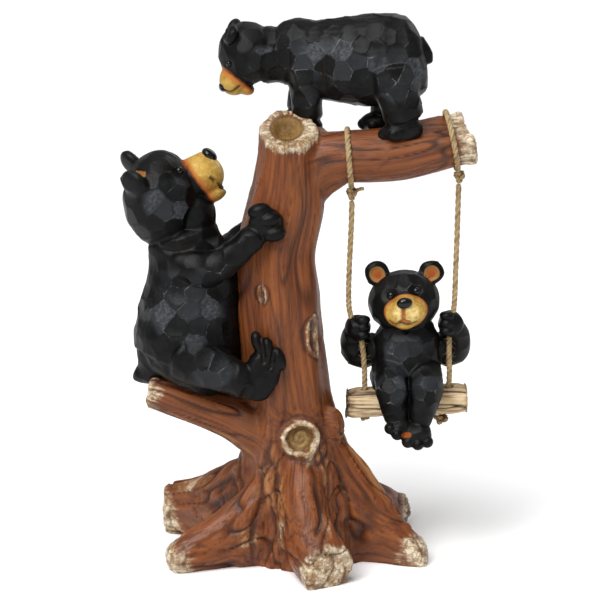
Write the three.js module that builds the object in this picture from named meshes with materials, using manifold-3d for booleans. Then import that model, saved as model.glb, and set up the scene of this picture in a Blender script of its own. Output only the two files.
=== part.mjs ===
// Garden statue in painted resin: a tree stump with a climbing bear and a standing bear cast on it,
// and a bear cub on a log seat that swings from the branch on two lengths of jute twine.
// Millimetres, +Z up. X runs to the viewer's right, -Y is the front, and the statue stands on Z = 0.

import * as THREE from 'three';
import { mergeVertices } from 'three/addons/utils/BufferGeometryUtils.js';
import Module from 'manifold-3d';

const wasm = await Module();
wasm.setup();

// Trunk: centre line and radius from the ground to the stump, with shallow flutes that wind up the bark
const TRUNK = {
  line: [
    [4, 6, -14], [3, 5, 24], [0, 3, 62], [-5, 1, 92], [-8, 0, 120], [-12.4, 0, 156], [-15.2, 0, 192],
    [-17, 0, 229], [-10, -1, 265], [-8, -5, 298], [-8, -10, 338],
  ],
  radii: [46, 44, 41, 35, 30.6, 30.2, 30.4, 28.4, 27, 21.4, 19.2],
};
const TRUNK_ROWS = 10;
const TRUNK_FLUTES = 6;
const TRUNK_FLUTE_DEPTH = 0.045;
const TRUNK_TWIST = 1.6;

// Stump top: the saw cut leans to the front, with a bowl in it
const STUMP_FACE = [-8.5, -8, 316.5];
const STUMP_LEAN = 33;
const STUMP_BOWL = [11, 9.5, 7];
const STUMP_OFFCUT = 120;

// Right branch, its sawn end, and the crotch behind the stump that carries the standing bear's front feet
const BRANCH = {
  line: [
    [-10, 6, 275], [10, 4, 290], [31, 0, 295.8], [51, 0, 296.8], [71, 0, 299], [92, 0, 304],
    [108, 0, 308.4], [134, 0, 313],
  ],
  radii: [24, 22, 19.2, 19.6, 20.2, 20, 19.8, 19],
};
const BRANCH_SIDES = 12;
const BRANCH_ROWS = 7;
const BRANCH_END = [119.8, 0, 311];
const BRANCH_END_NORMAL = [0.965, 0.12, 0.22];
const BRANCH_OFFCUT = 60;
const CROTCH = { at: [3, 11, 301], size: [21, 17, 20] };

// Lower left branch that the climbing bear sits on
const PERCH = {
  line: [[0, 0, 78.6], [-33, -3, 98], [-50, -4, 106.2], [-67, -5, 113], [-91, -5, 121.8], [-110, -5, 128]],
  radii: [27, 20.3, 16.6, 15, 14.2, 12.4],
};
const PERCH_SIDES = 10;
const PERCH_ROWS = 6;

// Roots: each ridge runs from the trunk to a blunt end near the ground, and its flanks go into the ground
const FRONT_ROOT = {
  ridge: [[0, -16, 98], [4, -40, 78], [8, -52, 58], [14.5, -62, 40], [21.5, -73, 27]],
  widths: [20, 17, 16, 19, 22.5],
};
const LEFT_FRONT_ROOT = {
  ridge: [[-8, -4, 96], [-33, -18, 66], [-54, -22, 47], [-76, -28, 32], [-98.5, -35, 18]],
  widths: [22, 16, 15, 15, 15],
};
const LEFT_BACK_ROOT = {
  ridge: [[-10, 2, 96], [-43, 12, 73], [-70, 39, 52], [-86, 52, 44], [-104.5, 61, 36]],
  widths: [22, 17, 15, 14, 13],
};
const RIGHT_FRONT_ROOT = {
  ridge: [[12, -2, 108], [42, -9, 80], [58, -13, 58], [76, -18, 35], [95, -21, 12.5]],
  widths: [22, 17, 15, 13.5, 11],
};
const RIGHT_BACK_ROOT = {
  ridge: [[10, 6, 92], [38, 24, 62], [54, 42, 47], [68, 64, 35], [79.5, 86, 22]],
  widths: [22, 17, 15, 13.5, 12],
};
const BACK_ROOT = {
  ridge: [[-2, 12, 92], [-6, 36, 60], [-14, 56, 36], [-22, 73, 20]],
  widths: [22, 17, 15, 13],
};
const FRONT_LEFT_BUTTRESS = {
  ridge: [[-6, -8, 82], [-17, -22, 48], [-24, -27, 20], [-27, -28, 6]],
  widths: [14, 11, 9, 8],
};
const FRONT_RIGHT_BUTTRESS = {
  ridge: [[8, -10, 86], [22, -27, 52], [30, -31, 24], [34, -32, 6]],
  widths: [14, 11, 9, 8],
};
const LEFT_BUTTRESS = {
  ridge: [[-14, 4, 76], [-46, 4, 44], [-61, 6, 16]],
  widths: [16, 13, 11],
};
const RIGHT_BUTTRESS = {
  ridge: [[14, 6, 76], [46, 14, 42], [64, 22, 14]],
  widths: [16, 13, 10],
};
const ROOTS = [
  FRONT_ROOT, LEFT_FRONT_ROOT, LEFT_BACK_ROOT, RIGHT_FRONT_ROOT, RIGHT_BACK_ROOT, BACK_ROOT,
  FRONT_LEFT_BUTTRESS, FRONT_RIGHT_BUTTRESS, LEFT_BUTTRESS, RIGHT_BUTTRESS,
];
const ROOT_BELOW = 5;
const ROOT_TIPS = [0, 0.07];
const GROUND_OFFCUT = 400;

// Limbs taper to blunt round tips; each tip is a share of the limb's length
const LIMB_SIDES = 7;
const LIMB_TIPS = [0.1, 0.1];
const TORSO_SIDES = 10;
const TORSO_TIPS = [0.05, 0];
const TIP_ROUND = 0.88;

// Facets lie half in and half out of the round form, so a faceted mass is cut a little larger
const MASS_SWELL = 1.035;
const LUMP_SWELL = 1.07;

// Knots in the bark: a ring round a hollow on the front, a small one above it and a burl on the right
const BIG_KNOT = { at: [0.5, -33.5, 97], ring: 11.5, tube: 3.4, turn: [72, 0, 0] };
const BIG_KNOT_HOLLOW = [9, 9.5, 5];
const SMALL_KNOT = { at: [-26.5, -25.5, 198], size: [5.4, 3, 8], turn: [0, 0, -20] };
const KNOT_TUBE_SIDES = 4;
const KNOT_RING_SIDES = 9;
const BURL = { at: [20.5, -14, 103], size: [9.5, 9, 14] };

// Climbing bear, seen from its left side; its mid-plane is Y = CLIMBER_MID
const CLIMBER_MID = -2;
const CLIMBER_TORSO = {
  line: [
    [-91, -2, 133], [-83, -2, 149], [-81, -2, 167], [-79.5, -2, 188], [-78.5, -2, 206], [-80, -2, 224],
    [-87, -2, 246],
  ],
  radii: [28, 37.6, 39.6, 37, 32.5, 29.5, 25],
  breadth: 0.87,
};
const CLIMBER_TAIL = { line: [[-96, -2, 160], [-110, -2, 146], [-120, -2, 134]], radii: [19, 12, 5] };
const CLIMBER_SKULL = { at: [-95.5, -2, 267], size: [31, 30, 35] };
const CLIMBER_THROAT = { at: [-73.5, -2, 253], size: [15, 17, 17] };
const CLIMBER_MUZZLE = { at: [-70, -2, 283], size: [16, 14.5, 15.5] };
const CLIMBER_JAW = { at: [-61.5, -2, 270.5], size: [10, 9, 6.5], turn: [0, -25, 0] };
const CLIMBER_MOUTH = { at: [-52, -2, 276], size: [10, 12, 1.8], turn: [0, 8, 0] };
const CLIMBER_NOSE = { at: [-64, -2, 298], size: [6.6, 6.4, 4.2], turn: [0, 42, 0] };
const CLIMBER_EARS = [
  { at: [-117.6, -23, 278.6], size: [6.5, 12, 12.5], turn: [0, -42, 18] },
  { at: [-121, 16, 290], size: [5.5, 10.5, 10.5], turn: [0, -42, -18] },
];
const CLIMBER_ARM = {
  line: [[-92, -18, 226], [-66, -26, 219], [-46, -31, 231], [-27, -30.5, 248]],
  radii: [15, 13, 10.2, 9.4],
};
const CLIMBER_PAW = { at: [-24, -30, 252], size: [12.5, 8.5, 12.5], turn: [0, -40, 0] };
const CLIMBER_FINGERS = [[-28, -33, 262], [-19.5, -34, 258], [-14, -33, 248.5]];
const CLIMBER_FINGER = { size: [6.2, 6, 7.6], turn: [0, 35, 0] };
const CLIMBER_LEG = {
  line: [[-88, -20, 158], [-68, -27, 151], [-50, -31, 144], [-34, -33, 137]],
  radii: [21, 17, 13.5, 12],
};
const CLIMBER_FOOT = { at: [-27, -32, 145], size: [13, 9.5, 21], turn: [0, 16, 0] };
const CLIMBER_TOES = [[-29, -33, 168], [-21.5, -35, 166.5], [-14, -34, 158.5]];
const CLIMBER_TOE = { size: [5.6, 6, 7.6], turn: [0, 10, 0] };

// Standing bear, facing left, turned a little so that its head is behind the stump
const STANDER_TORSO = {
  line: [
    [88.5, 2, 368], [78, 2, 366], [62, 4, 365], [44, 6.5, 364], [25, 9.5, 364.5], [7, 12.5, 366.5],
    [-5, 14, 368.5], [-16, 15, 367.5], [-30, 16, 368],
  ],
  radii: [20, 29.6, 32.8, 32.4, 30, 27, 25.6, 22.4, 22.4],
  breadth: 0.79,
};
const STANDER_SKULL = { at: [-37, 16, 368.8], size: [21.5, 21.5, 22.5] };
const STANDER_MUZZLE = { at: [-46, 15, 351.5], size: [11.5, 11, 13], turn: [0, 38, 0] };
const STANDER_CHIN = { at: [-39, 15, 343.5], size: [6.5, 7, 4.5], turn: [0, 20, 0] };
const STANDER_NOSE = { at: [-54.5, 15, 348], size: [3.4, 4.8, 4], turn: [0, 30, 0] };
const STANDER_EARS = [
  { at: [-48.4, -1, 382.2], size: [4.4, 7.4, 7.6], turn: [0, 20, 20] },
  { at: [-47.5, 29, 385.6], size: [5, 7, 7.4], turn: [0, 20, -20] },
];
const STANDER_TAIL = { line: [[82, 1, 379], [88.5, 1, 371], [90, 1, 361.5]], radii: [5, 4.4, 3.8] };
const STANDER_TOE = [5, 4.2, 4.4];
const STANDER_TOE_STEP = 6.4;
const STANDER_TOE_DROP = 1.5;
const STANDER_FOOT = [12.5, 10, 7];
const STANDER_NEAR_FRONT = {
  line: [[4, 6, 360], [3, 5.5, 340], [4, 6.5, 319]],
  radii: [14.5, 11.5, 10.5],
  foot: [0, 5, 318],
  toes: [-1, 0, 1],
};
const STANDER_FAR_FRONT = {
  line: [[6, 23, 360], [3, 24, 342], [0, 23, 325]],
  radii: [14, 11, 10],
  foot: [-5, 22, 321],
  toes: [],
};
const STANDER_NEAR_HIND = {
  line: [[66, -10, 362], [69, -13, 340], [74.5, -12, 321]],
  radii: [19, 15, 12.5],
  foot: [69, -14, 315],
  toes: [-1, 0, 1],
};
const STANDER_FAR_HIND = {
  line: [[64, 15, 362], [64, 17, 340], [62, 14, 322]],
  radii: [18, 14.5, 11],
  foot: [55.5, 14, 320],
  toes: [-1, 0, 1],
};
const STANDER_LEGS = [STANDER_NEAR_FRONT, STANDER_FAR_FRONT, STANDER_NEAR_HIND, STANDER_FAR_HIND];

// Cub on the swing, facing the front; SWING_BACK sets its weight under the twines
const SWING_BACK = 3.9;
const CUB_TORSO = {
  line: [[77.5, 1, 121], [77.5, 0, 135], [78, 0, 151], [77.5, 0, 166], [76.5, -1, 180]],
  radii: [24, 26.5, 24, 23.5, 16],
  breadth: 0.84,
};
const CUB_SKULL = { at: [75.2, -3, 191.2], size: [26, 22, 22.8], turn: [0, -8, 0] };
const CUB_MUZZLE = { at: [75.5, -20, 188], size: [15, 11.5, 12], turn: [0, -8, 0] };
const CUB_NOSE = { at: [74, -30.5, 195], size: [5.6, 3.4, 4], turn: [0, -8, 0] };
const CUB_EARS = [[55.8, 1, 211], [95.2, 1, 211.8]];
const CUB_EAR = [9.2, 4.6, 9.2];
const CUB_EAR_CUP = [6, 3, 6];
const CUB_ARMS = [
  {
    line: [[60, 3, 162], [46.5, 9, 150], [38.4, 9, 151.2], [36.6, 3, 163], [41, -2, 170]],
    radii: [12, 10, 9.5, 8.6, 8],
  },
  {
    line: [[96, 3, 163], [107.5, 9, 151], [116, 9, 153.2], [116.5, 3, 165], [110, -2, 173]],
    radii: [12, 10, 9.5, 8.6, 8],
  },
];
const CUB_PAWS = [[42, -2, 171.5], [109.5, -2, 174.5]];
const CUB_PAW = [9.4, 9.5, 10];
const CUB_FINGER = [4.6, 4.4, 4];
const CUB_FINGER_STEP = 6.2;
const CUB_FINGER_FORWARD = 6.6;
const CUB_FINGER_RISE = 4;
const CUB_FINGER_ARCH = 2;
const CUB_LEGS = [
  {
    line: [[66, 0, 141], [64, -16, 138], [63.5, -26, 130], [66, -27, 117], [69, -25, 105]],
    radii: [12, 12, 11.5, 9.5, 7.5],
  },
  {
    line: [[91, 0, 141], [92.5, -16, 138], [93, -26, 131], [90, -28, 117], [86, -27, 104]],
    radii: [12, 12, 11.8, 9.5, 7.5],
  },
];
const CUB_FEET = [
  {
    at: [71.5, -28, 104.5],
    size: [9.5, 9.5, 7],
    toes: [[65.5, -35, 103.5], [71.5, -36.5, 102], [77.5, -35, 103]],
  },
  {
    at: [84.5, -32, 99.5],
    size: [10.5, 9.5, 8.5],
    toes: [[77, -37.5, 94], [84.5, -39.5, 92.8], [92, -37.5, 94.2]],
  },
];
const CUB_TOE = [4.2, 4.6, 4.2];

// Log seat, a little lower on the left, with a rounded square section
const SEAT_LINE = [[32.5, 0, 115], [55, 0, 116.4], [78, 0, 116.9], [101, 0, 118.1], [123, 0, 119.3]];
const SEAT_HALF_DEPTH = 14.5;
const SEAT_HALF_HEIGHT = 11.2;
const SEAT_SIDES = 12;
const SEAT_ROWS = 3;
const SEAT_SQUARENESS = 4;

// Jute twine: loops at two places along the branch, knots under it, the hanging runs and the stops
const TWINE = 4.8;
const TWINE_SIDES = 8;
const TWINE_CLEARANCE = 0.5;
const MESH_GAP = 0.35;
const LOOP_AT = { left: 0.3145, right: 0.8555 };
const LOOP_STEPS = 10;
const LOOP_LEAVE = 0.1;
const BARK_CLEARANCE = 0.6;
const KNOT_DROP = 4;
const KNOT_RADIUS = 4.9;
const STOP_SIZE = { left: [4.8, 4.6, 3], right: [6, 5.4, 4.4] };
const RUN_STEPS = 13;

// The hanging runs in the plane Y = 0, as X and Z, from the knot down past the paw and through the seat
const RUN_LEFT = [
  [37.2, 264.8], [37, 252], [36.5, 239], [36, 227], [35.5, 215], [35.2, 203], [35.2, 193], [35.9, 184.5],
  [38.4, 176.5], [41.8, 169], [44.7, 161.5], [46.1, 152.5], [46.8, 143.5], [47.2, 134.5], [47.2, 125.5],
  [47.1, 116.5], [47, 104.6],
];
const RUN_RIGHT = [
  [113.4, 276.95], [113.2, 264], [113, 251], [112.8, 238], [112.5, 225], [112.2, 212], [112, 200],
  [111.7, 191], [111, 183], [109.9, 175.5], [108.8, 168], [108.4, 159.5], [108.5, 151], [108.8, 142.5],
  [108.8, 134], [108, 125.5], [106, 117], [103, 107],
];

// Finishes
const FINISHES = {
  casting: { color: 0x7a3d1e, roughness: 0.6, metalness: 0 },
  cub: { color: 0x22231f, roughness: 0.5, metalness: 0 },
  jute: { color: 0xa98c5e, roughness: 0.95, metalness: 0 },
};

const vector = (p) => new THREE.Vector3(...p);
const smoothLine = (points) => new THREE.CatmullRomCurve3(points.map(vector));

// A closed three.js geometry as a solid that can be joined and cut
function solidOf(geometry) {
  geometry.deleteAttribute('normal');
  geometry.deleteAttribute('uv');
  const merged = mergeVertices(geometry, 1e-4);
  return new wasm.Manifold(new wasm.Mesh({
    numProp: 3,
    vertProperties: new Float32Array(merged.attributes.position.array),
    triVerts: new Uint32Array(merged.index.array),
  }));
}

const join = (solids) => solids.reduce((whole, solid) => whole.add(solid));

// Places a geometry by turns in degrees about X, Y and Z and then a shift
function placed(geometry, at, turn = [0, 0, 0]) {
  const angles = new THREE.Euler(...turn.map(THREE.MathUtils.degToRad));
  return geometry.applyQuaternion(new THREE.Quaternion().setFromEuler(angles)).translate(...at);
}

// A rounded mass with chisel-cut facets
function mass({ at, size, turn }) {
  return solidOf(placed(new THREE.IcosahedronGeometry(MASS_SWELL, 1).scale(...size), at, turn));
}

// A toe or another small lump, with larger facets
function lump({ at, size, turn }) {
  return solidOf(placed(new THREE.OctahedronGeometry(LUMP_SWELL, 1).scale(...size), at, turn));
}

// The value at t, from 0 to 1, along a list of stations
function between(stations, t) {
  const place = t * (stations.length - 1);
  const index = Math.min(Math.floor(place), stations.length - 2);
  return THREE.MathUtils.lerp(stations[index], stations[index + 1], place - index);
}

// How full a limb is near a blunt tip, at a share t of its length from that tip
const blunt = (t, tip) => (t < tip ? Math.sqrt(1 - (TIP_ROUND * (1 - t / tip)) ** 2) : 1);

// A limb along a smooth line; shape(t, angle) scales its radius to a half width and a half height
function sweep({ line, radii }, options) {
  const { sides, rows, side = [0, 1, 0], tips = [0, 0], shape = () => [1, 1], upright = false } = options;
  const curve = smoothLine(line);
  const geometry = new THREE.CylinderGeometry(1, 1, 1, sides, rows);
  const position = geometry.attributes.position;
  const across = vector(side);
  for (let i = 0; i < position.count; i += 1) {
    const t = position.getY(i) + 0.5;
    const spread = Math.hypot(position.getX(i), position.getZ(i));
    const angle = Math.atan2(position.getZ(i), position.getX(i));
    const tangent = curve.getTangent(t);
    const wide = across.clone().addScaledVector(tangent, -across.dot(tangent)).normalize();
    const high = upright ? vector([0, 0, 1]) : wide.clone().cross(tangent);
    const radius = spread * between(radii, t) * blunt(t, tips[0]) * blunt(1 - t, tips[1]);
    const [wider, higher] = shape(t, angle);
    const point = curve.getPoint(t)
      .addScaledVector(wide, radius * wider * Math.cos(angle))
      .addScaledVector(high, radius * higher * Math.sin(angle));
    position.setXYZ(i, point.x, point.y, point.z);
  }
  return solidOf(geometry);
}

// A limb of a bear, round and tapered
function limb(part, side) {
  return sweep(part, { sides: LIMB_SIDES, rows: part.line.length, side, tips: LIMB_TIPS });
}

// The trunk of a bear's body, narrower across its mid-plane
function torso(part) {
  const broad = () => [part.breadth, 1];
  return sweep(part, { sides: TORSO_SIDES, rows: part.line.length, tips: TORSO_TIPS, shape: broad });
}

// The same part on the other side of the climbing bear's mid-plane
function farSide(part) {
  const flip = ([x, y, z]) => [x, 2 * CLIMBER_MID - y, z];
  const { at, line } = part;
  return { ...part, at: at && flip(at), line: line && line.map(flip) };
}

// A box whose near face lies at a point, facing along a normal
function cutter(at, normal, reach) {
  const box = new THREE.BoxGeometry(reach, reach, reach).translate(0, 0, reach / 2);
  const turn = new THREE.Quaternion().setFromUnitVectors(vector([0, 0, 1]), vector(normal).normalize());
  return solidOf(box.applyQuaternion(turn).translate(...at));
}

function trunk() {
  const fluted = (t, angle) => {
    const swell = 1 + TRUNK_FLUTE_DEPTH * Math.cos(TRUNK_FLUTES * angle + TRUNK_TWIST * 2 * Math.PI * t);
    return [swell, swell];
  };
  return sweep(TRUNK, { sides: 3 * TRUNK_FLUTES, rows: TRUNK_ROWS, shape: fluted });
}

// A root's sections stand upright across its heading, from its ridge down into the ground
function root({ ridge, widths }) {
  const line = ridge.map(([x, y, z]) => [x, y, (z - ROOT_BELOW) / 2]);
  const radii = ridge.map(([, , z]) => (z + ROOT_BELOW) / 2);
  const first = ridge[0];
  const last = ridge[ridge.length - 1];
  const side = [last[1] - first[1], first[0] - last[0], 0];
  const broad = (t) => [between(widths, t) / between(radii, t), 1];
  const sections = { sides: LIMB_SIDES, rows: ridge.length, tips: ROOT_TIPS, upright: true };
  return sweep({ line, radii }, { ...sections, side, shape: broad });
}

function knotRing({ at, ring, tube, turn }) {
  return solidOf(placed(new THREE.TorusGeometry(ring, tube, KNOT_TUBE_SIDES, KNOT_RING_SIDES), at, turn));
}

function tree() {
  const lean = THREE.MathUtils.degToRad(STUMP_LEAN);
  const stumpNormal = [0, -Math.sin(lean), Math.cos(lean)];
  const stump = trunk()
    .subtract(cutter(STUMP_FACE, stumpNormal, STUMP_OFFCUT))
    .subtract(mass({ at: STUMP_FACE, size: STUMP_BOWL, turn: [STUMP_LEAN, 0, 0] }));
  const branch = sweep(BRANCH, { sides: BRANCH_SIDES, rows: BRANCH_ROWS })
    .subtract(cutter(BRANCH_END, BRANCH_END_NORMAL, BRANCH_OFFCUT))
    .subtract(cutter(STUMP_FACE, stumpNormal, BRANCH_OFFCUT));
  const perch = sweep(PERCH, { sides: PERCH_SIDES, rows: PERCH_ROWS });
  const knots = [lump(BURL), lump(SMALL_KNOT), knotRing(BIG_KNOT)];
  return join([stump, branch, lump(CROTCH), perch, ...ROOTS.map(root), ...knots])
    .subtract(mass({ at: BIG_KNOT.at, size: BIG_KNOT_HOLLOW, turn: BIG_KNOT.turn }))
    .subtract(cutter([0, 0, 0], [0, 0, -1], GROUND_OFFCUT));
}

function climbingBear() {
  const masses = [CLIMBER_SKULL, CLIMBER_MUZZLE].map(mass);
  const lumps = [CLIMBER_THROAT, CLIMBER_JAW, ...CLIMBER_EARS].map(lump);
  const head = join([...masses, ...lumps]).subtract(lump(CLIMBER_MOUTH)).add(lump(CLIMBER_NOSE));
  const limbs = [CLIMBER_ARM, CLIMBER_LEG].flatMap((part) => [limb(part), limb(farSide(part))]);
  const paws = [CLIMBER_PAW, CLIMBER_FOOT].flatMap((part) => [lump(part), lump(farSide(part))]);
  const fingers = CLIMBER_FINGERS.map((at) => lump({ at, ...CLIMBER_FINGER }));
  const toes = CLIMBER_TOES.map((at) => lump({ at, ...CLIMBER_TOE }));
  return join([torso(CLIMBER_TORSO), limb(CLIMBER_TAIL), head, ...limbs, ...paws, ...fingers, ...toes]);
}

// The toes fan out across the foot, the outer ones set back
function standingLeg({ line, radii, foot, toes }) {
  const [x, y, z] = foot;
  const reach = (STANDER_FOOT[0] + STANDER_TOE_STEP) / 2;
  const toeAt = (step) => [x - reach + Math.abs(step), y + step * STANDER_TOE_STEP, z - STANDER_TOE_DROP];
  const fan = toes.map((step) => lump({ at: toeAt(step), size: STANDER_TOE }));
  return join([limb({ line, radii }), lump({ at: foot, size: STANDER_FOOT }), ...fan]);
}

function standingBear() {
  return join([
    torso(STANDER_TORSO), mass(STANDER_SKULL), mass(STANDER_MUZZLE), lump(STANDER_CHIN), lump(STANDER_NOSE),
    ...STANDER_EARS.map(lump), limb(STANDER_TAIL), ...STANDER_LEGS.map(standingLeg),
  ]);
}

function cubEar([x, y, z]) {
  const cup = { at: [x, y - CUB_EAR[1], z], size: CUB_EAR_CUP };
  return lump({ at: [x, y, z], size: CUB_EAR }).subtract(lump(cup));
}

// The fingers lie in an arch across the front of the paw
function cubPaw([x, y, z]) {
  const arch = (step) => CUB_FINGER_RISE - CUB_FINGER_ARCH * Math.abs(step);
  const fingerAt = (step) => [x + step * CUB_FINGER_STEP, y - CUB_FINGER_FORWARD, z + arch(step)];
  const fingers = [-1, 0, 1].map((step) => lump({ at: fingerAt(step), size: CUB_FINGER }));
  return join([lump({ at: [x, y, z], size: CUB_PAW }), ...fingers]);
}

function cubFoot({ at, size, toes }) {
  return join([lump({ at, size }), ...toes.map((toe) => lump({ at: toe, size: CUB_TOE }))]);
}

function logSeat() {
  const power = (value) => Math.abs(value) ** SEAT_SQUARENESS;
  const squared = (t, angle) => {
    const round = (power(Math.cos(angle)) + power(Math.sin(angle))) ** (-1 / SEAT_SQUARENESS);
    return [SEAT_HALF_DEPTH * round, SEAT_HALF_HEIGHT * round];
  };
  const radii = SEAT_LINE.map(() => 1);
  return sweep({ line: SEAT_LINE, radii }, { sides: SEAT_SIDES, rows: SEAT_ROWS, shape: squared });
}

function cubOnSeat() {
  return join([
    torso(CUB_TORSO), mass(CUB_SKULL), mass(CUB_MUZZLE), lump(CUB_NOSE), ...CUB_EARS.map(cubEar),
    ...CUB_ARMS.map((arm) => limb(arm)), ...CUB_PAWS.map(cubPaw),
    ...CUB_LEGS.map((leg) => limb(leg, [1, 0, 0])), ...CUB_FEET.map(cubFoot),
    logSeat(),
  ]).translate([0, SWING_BACK, 0]);
}

// A round twine along a line of points
function twine(points, diameter, steps) {
  const corners = [];
  for (let i = 0; i < TWINE_SIDES; i += 1) {
    const angle = (2 * Math.PI * i) / TWINE_SIDES;
    corners.push(new THREE.Vector2(Math.cos(angle), Math.sin(angle)).multiplyScalar(diameter / 2));
  }
  const extrudePath = smoothLine(points);
  return new THREE.ExtrudeGeometry(new THREE.Shape(corners), { steps, extrudePath, bevelEnabled: false });
}

// Where a loop goes round the branch, and the knot under it in the plane of the hanging runs
function loopPlace(t) {
  const curve = smoothLine(BRANCH.line);
  const centre = curve.getPoint(t);
  const down = curve.getTangent(t).cross(vector([0, 1, 0])).normalize().negate();
  const radius = between(BRANCH.radii, t) + BARK_CLEARANCE + TWINE / 2;
  const knot = centre.clone().addScaledVector(down, radius + KNOT_DROP).setY(0);
  return { centre, down, radius, knot };
}

// The loop leaves the knot, goes round the branch and comes back to the knot
function loopLine({ centre, down, radius, knot }) {
  const leave = Math.acos(radius / (radius + KNOT_DROP)) + LOOP_LEAVE;
  const front = vector([0, -1, 0]);
  const points = [];
  for (let i = 0; i <= LOOP_STEPS; i += 1) {
    const angle = THREE.MathUtils.lerp(leave, 2 * Math.PI - leave, i / LOOP_STEPS);
    const outward = down.clone().multiplyScalar(Math.cos(angle)).addScaledVector(front, Math.sin(angle));
    points.push(centre.clone().addScaledVector(outward, radius));
  }
  const reach = KNOT_RADIUS + MESH_GAP + TWINE / 4;
  const atKnot = (p) => knot.clone().addScaledVector(p.clone().sub(knot).normalize(), reach);
  return [atKnot(points[0]), ...points, atKnot(points[LOOP_STEPS])].map((p) => p.toArray());
}

function ballKnot(knot) {
  return placed(new THREE.OctahedronGeometry(KNOT_RADIUS, 1), knot.toArray());
}

// The stop under the seat, just below the end of its run
function stopKnot(name, [x, y, z]) {
  const size = STOP_SIZE[name];
  return lump({ at: [x, y, z - size[2] * LUMP_SWELL - MESH_GAP], size });
}

function geometryOf(solid) {
  const mesh = solid.getMesh();
  const geometry = new THREE.BufferGeometry();
  geometry.setAttribute('position', new THREE.BufferAttribute(new Float32Array(mesh.vertProperties), 3));
  geometry.setIndex(new THREE.BufferAttribute(new Uint32Array(mesh.triVerts), 1));
  return geometry;
}

const statue = new THREE.Group();

function addPiece(name, geometry, finish) {
  const piece = new THREE.Mesh(geometry, new THREE.MeshStandardMaterial(FINISHES[finish]));
  piece.name = name;
  statue.add(piece);
}

const inTwinePlane = ([x, z]) => [x, 0, z];
const sides = [
  { name: 'left', place: loopPlace(LOOP_AT.left), run: RUN_LEFT.map(inTwinePlane) },
  { name: 'right', place: loopPlace(LOOP_AT.right), run: RUN_RIGHT.map(inTwinePlane) },
];

addPiece('tree_with_bears', geometryOf(join([tree(), climbingBear(), standingBear()])), 'casting');

// The twines run through the paws and the seat in channels a little wider than themselves
const channels = sides.map(({ run }) => solidOf(twine(run, TWINE + 2 * TWINE_CLEARANCE, RUN_STEPS)));
addPiece('swing_cub', geometryOf(cubOnSeat().subtract(join(channels))), 'cub');

for (const { name, place, run } of sides) {
  addPiece(`twine_loop_${name}`, twine(loopLine(place), TWINE, LOOP_STEPS + 2), 'jute');
  addPiece(`twine_knot_${name}`, ballKnot(place.knot), 'jute');
  addPiece(`twine_run_${name}`, twine(run, TWINE, RUN_STEPS), 'jute');
  addPiece(`twine_stop_${name}`, geometryOf(stopKnot(name, run[run.length - 1])), 'jute');
}

export default statue;
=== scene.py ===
"""Looks of the resin bear garden statue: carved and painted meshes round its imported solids."""

from math import cos, pi, radians, sin

import bmesh
import bpy
import numpy as np
from mathutils import Euler, Matrix, Vector, kdtree


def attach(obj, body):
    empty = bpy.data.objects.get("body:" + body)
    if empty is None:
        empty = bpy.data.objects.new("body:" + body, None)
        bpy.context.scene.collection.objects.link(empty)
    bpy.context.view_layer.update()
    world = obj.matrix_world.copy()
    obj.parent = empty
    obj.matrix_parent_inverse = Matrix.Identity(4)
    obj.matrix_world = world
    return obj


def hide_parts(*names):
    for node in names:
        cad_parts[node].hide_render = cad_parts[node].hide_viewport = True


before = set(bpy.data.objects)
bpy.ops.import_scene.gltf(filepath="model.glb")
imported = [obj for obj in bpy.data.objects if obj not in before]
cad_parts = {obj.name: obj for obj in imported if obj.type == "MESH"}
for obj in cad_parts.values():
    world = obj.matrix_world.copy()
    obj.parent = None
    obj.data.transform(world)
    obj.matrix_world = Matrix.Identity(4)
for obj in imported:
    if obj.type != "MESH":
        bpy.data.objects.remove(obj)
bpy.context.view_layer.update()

# Sizes are in millimetres, +Z up, -Y to the front, and become metres when a piece is finished
MM = 0.001

# Camera of the photograph
CAMERA_AT = (0, -1240, 420)
CAMERA_DOWN = 10.4
CAMERA_LENS = 104.6
CAMERA_SENSOR = 36

# Light
WORLD_LIGHT = 0.42
SUN_LIGHT = 2.7
SUN_SPREAD = 45
KEY_LIGHT = 9
BACK_LIGHT = 6

# Tree
TRUNK = dict(
    line=[(4, 6, -14), (3, 5, 24), (0, 3, 62), (-5, 1, 92), (-8, 0, 120), (-12.4, 0, 156), (-15.2, 0, 192),
          (-17, 0, 229), (-10, -1, 265), (-8, -5, 298), (-8, -10, 338)],
    radii=[46, 44, 41, 35, 30.6, 30.2, 30.4, 28.4, 27, 21.4, 19.2],
)
TRUNK_FLUTES = 6
TRUNK_FLUTE_DEPTH = 0.045
TRUNK_TWIST = 1.6
STUMP_FACE = (-8.5, -8, 316.5)
STUMP_LEAN = 33
STUMP_BOWL_AT = (-9.4, -7.3, 317.2)
STUMP_BOWL = (10.8, 13.2)
STUMP_BOWL_DEPTH = 6
BRANCH = dict(
    line=[(-10, 6, 275), (10, 4, 290), (31, 0, 295.8), (51, 0, 296.8), (71, 0, 299), (92, 0, 304),
          (108, 0, 308.4), (134, 0, 313)],
    radii=[24, 22, 19.2, 19.6, 20.2, 20, 19.8, 19],
)
BRANCH_END = (119.8, 0, 311)
BRANCH_END_NORMAL = (0.965, 0.12, 0.22)
CROTCH = dict(at=(3, 11, 301), size=(21, 17, 20))
ARMPIT = dict(line=[(3, 0, 247), (13, 0, 269), (32, 0, 285)], radii=[7.5, 7, 8.5])
PERCH = dict(
    line=[(0, 0, 78.6), (-33, -3, 98), (-50, -4, 106.2), (-67, -5, 113), (-91, -5, 121.8), (-112, -5, 128.6)],
    radii=[27, 20.3, 16.6, 15, 14.2, 12.6],
)
PERCH_END = (-109.5, -5, 128)
PERCH_END_NORMAL = (-0.93, 0.08, 0.12)
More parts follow.
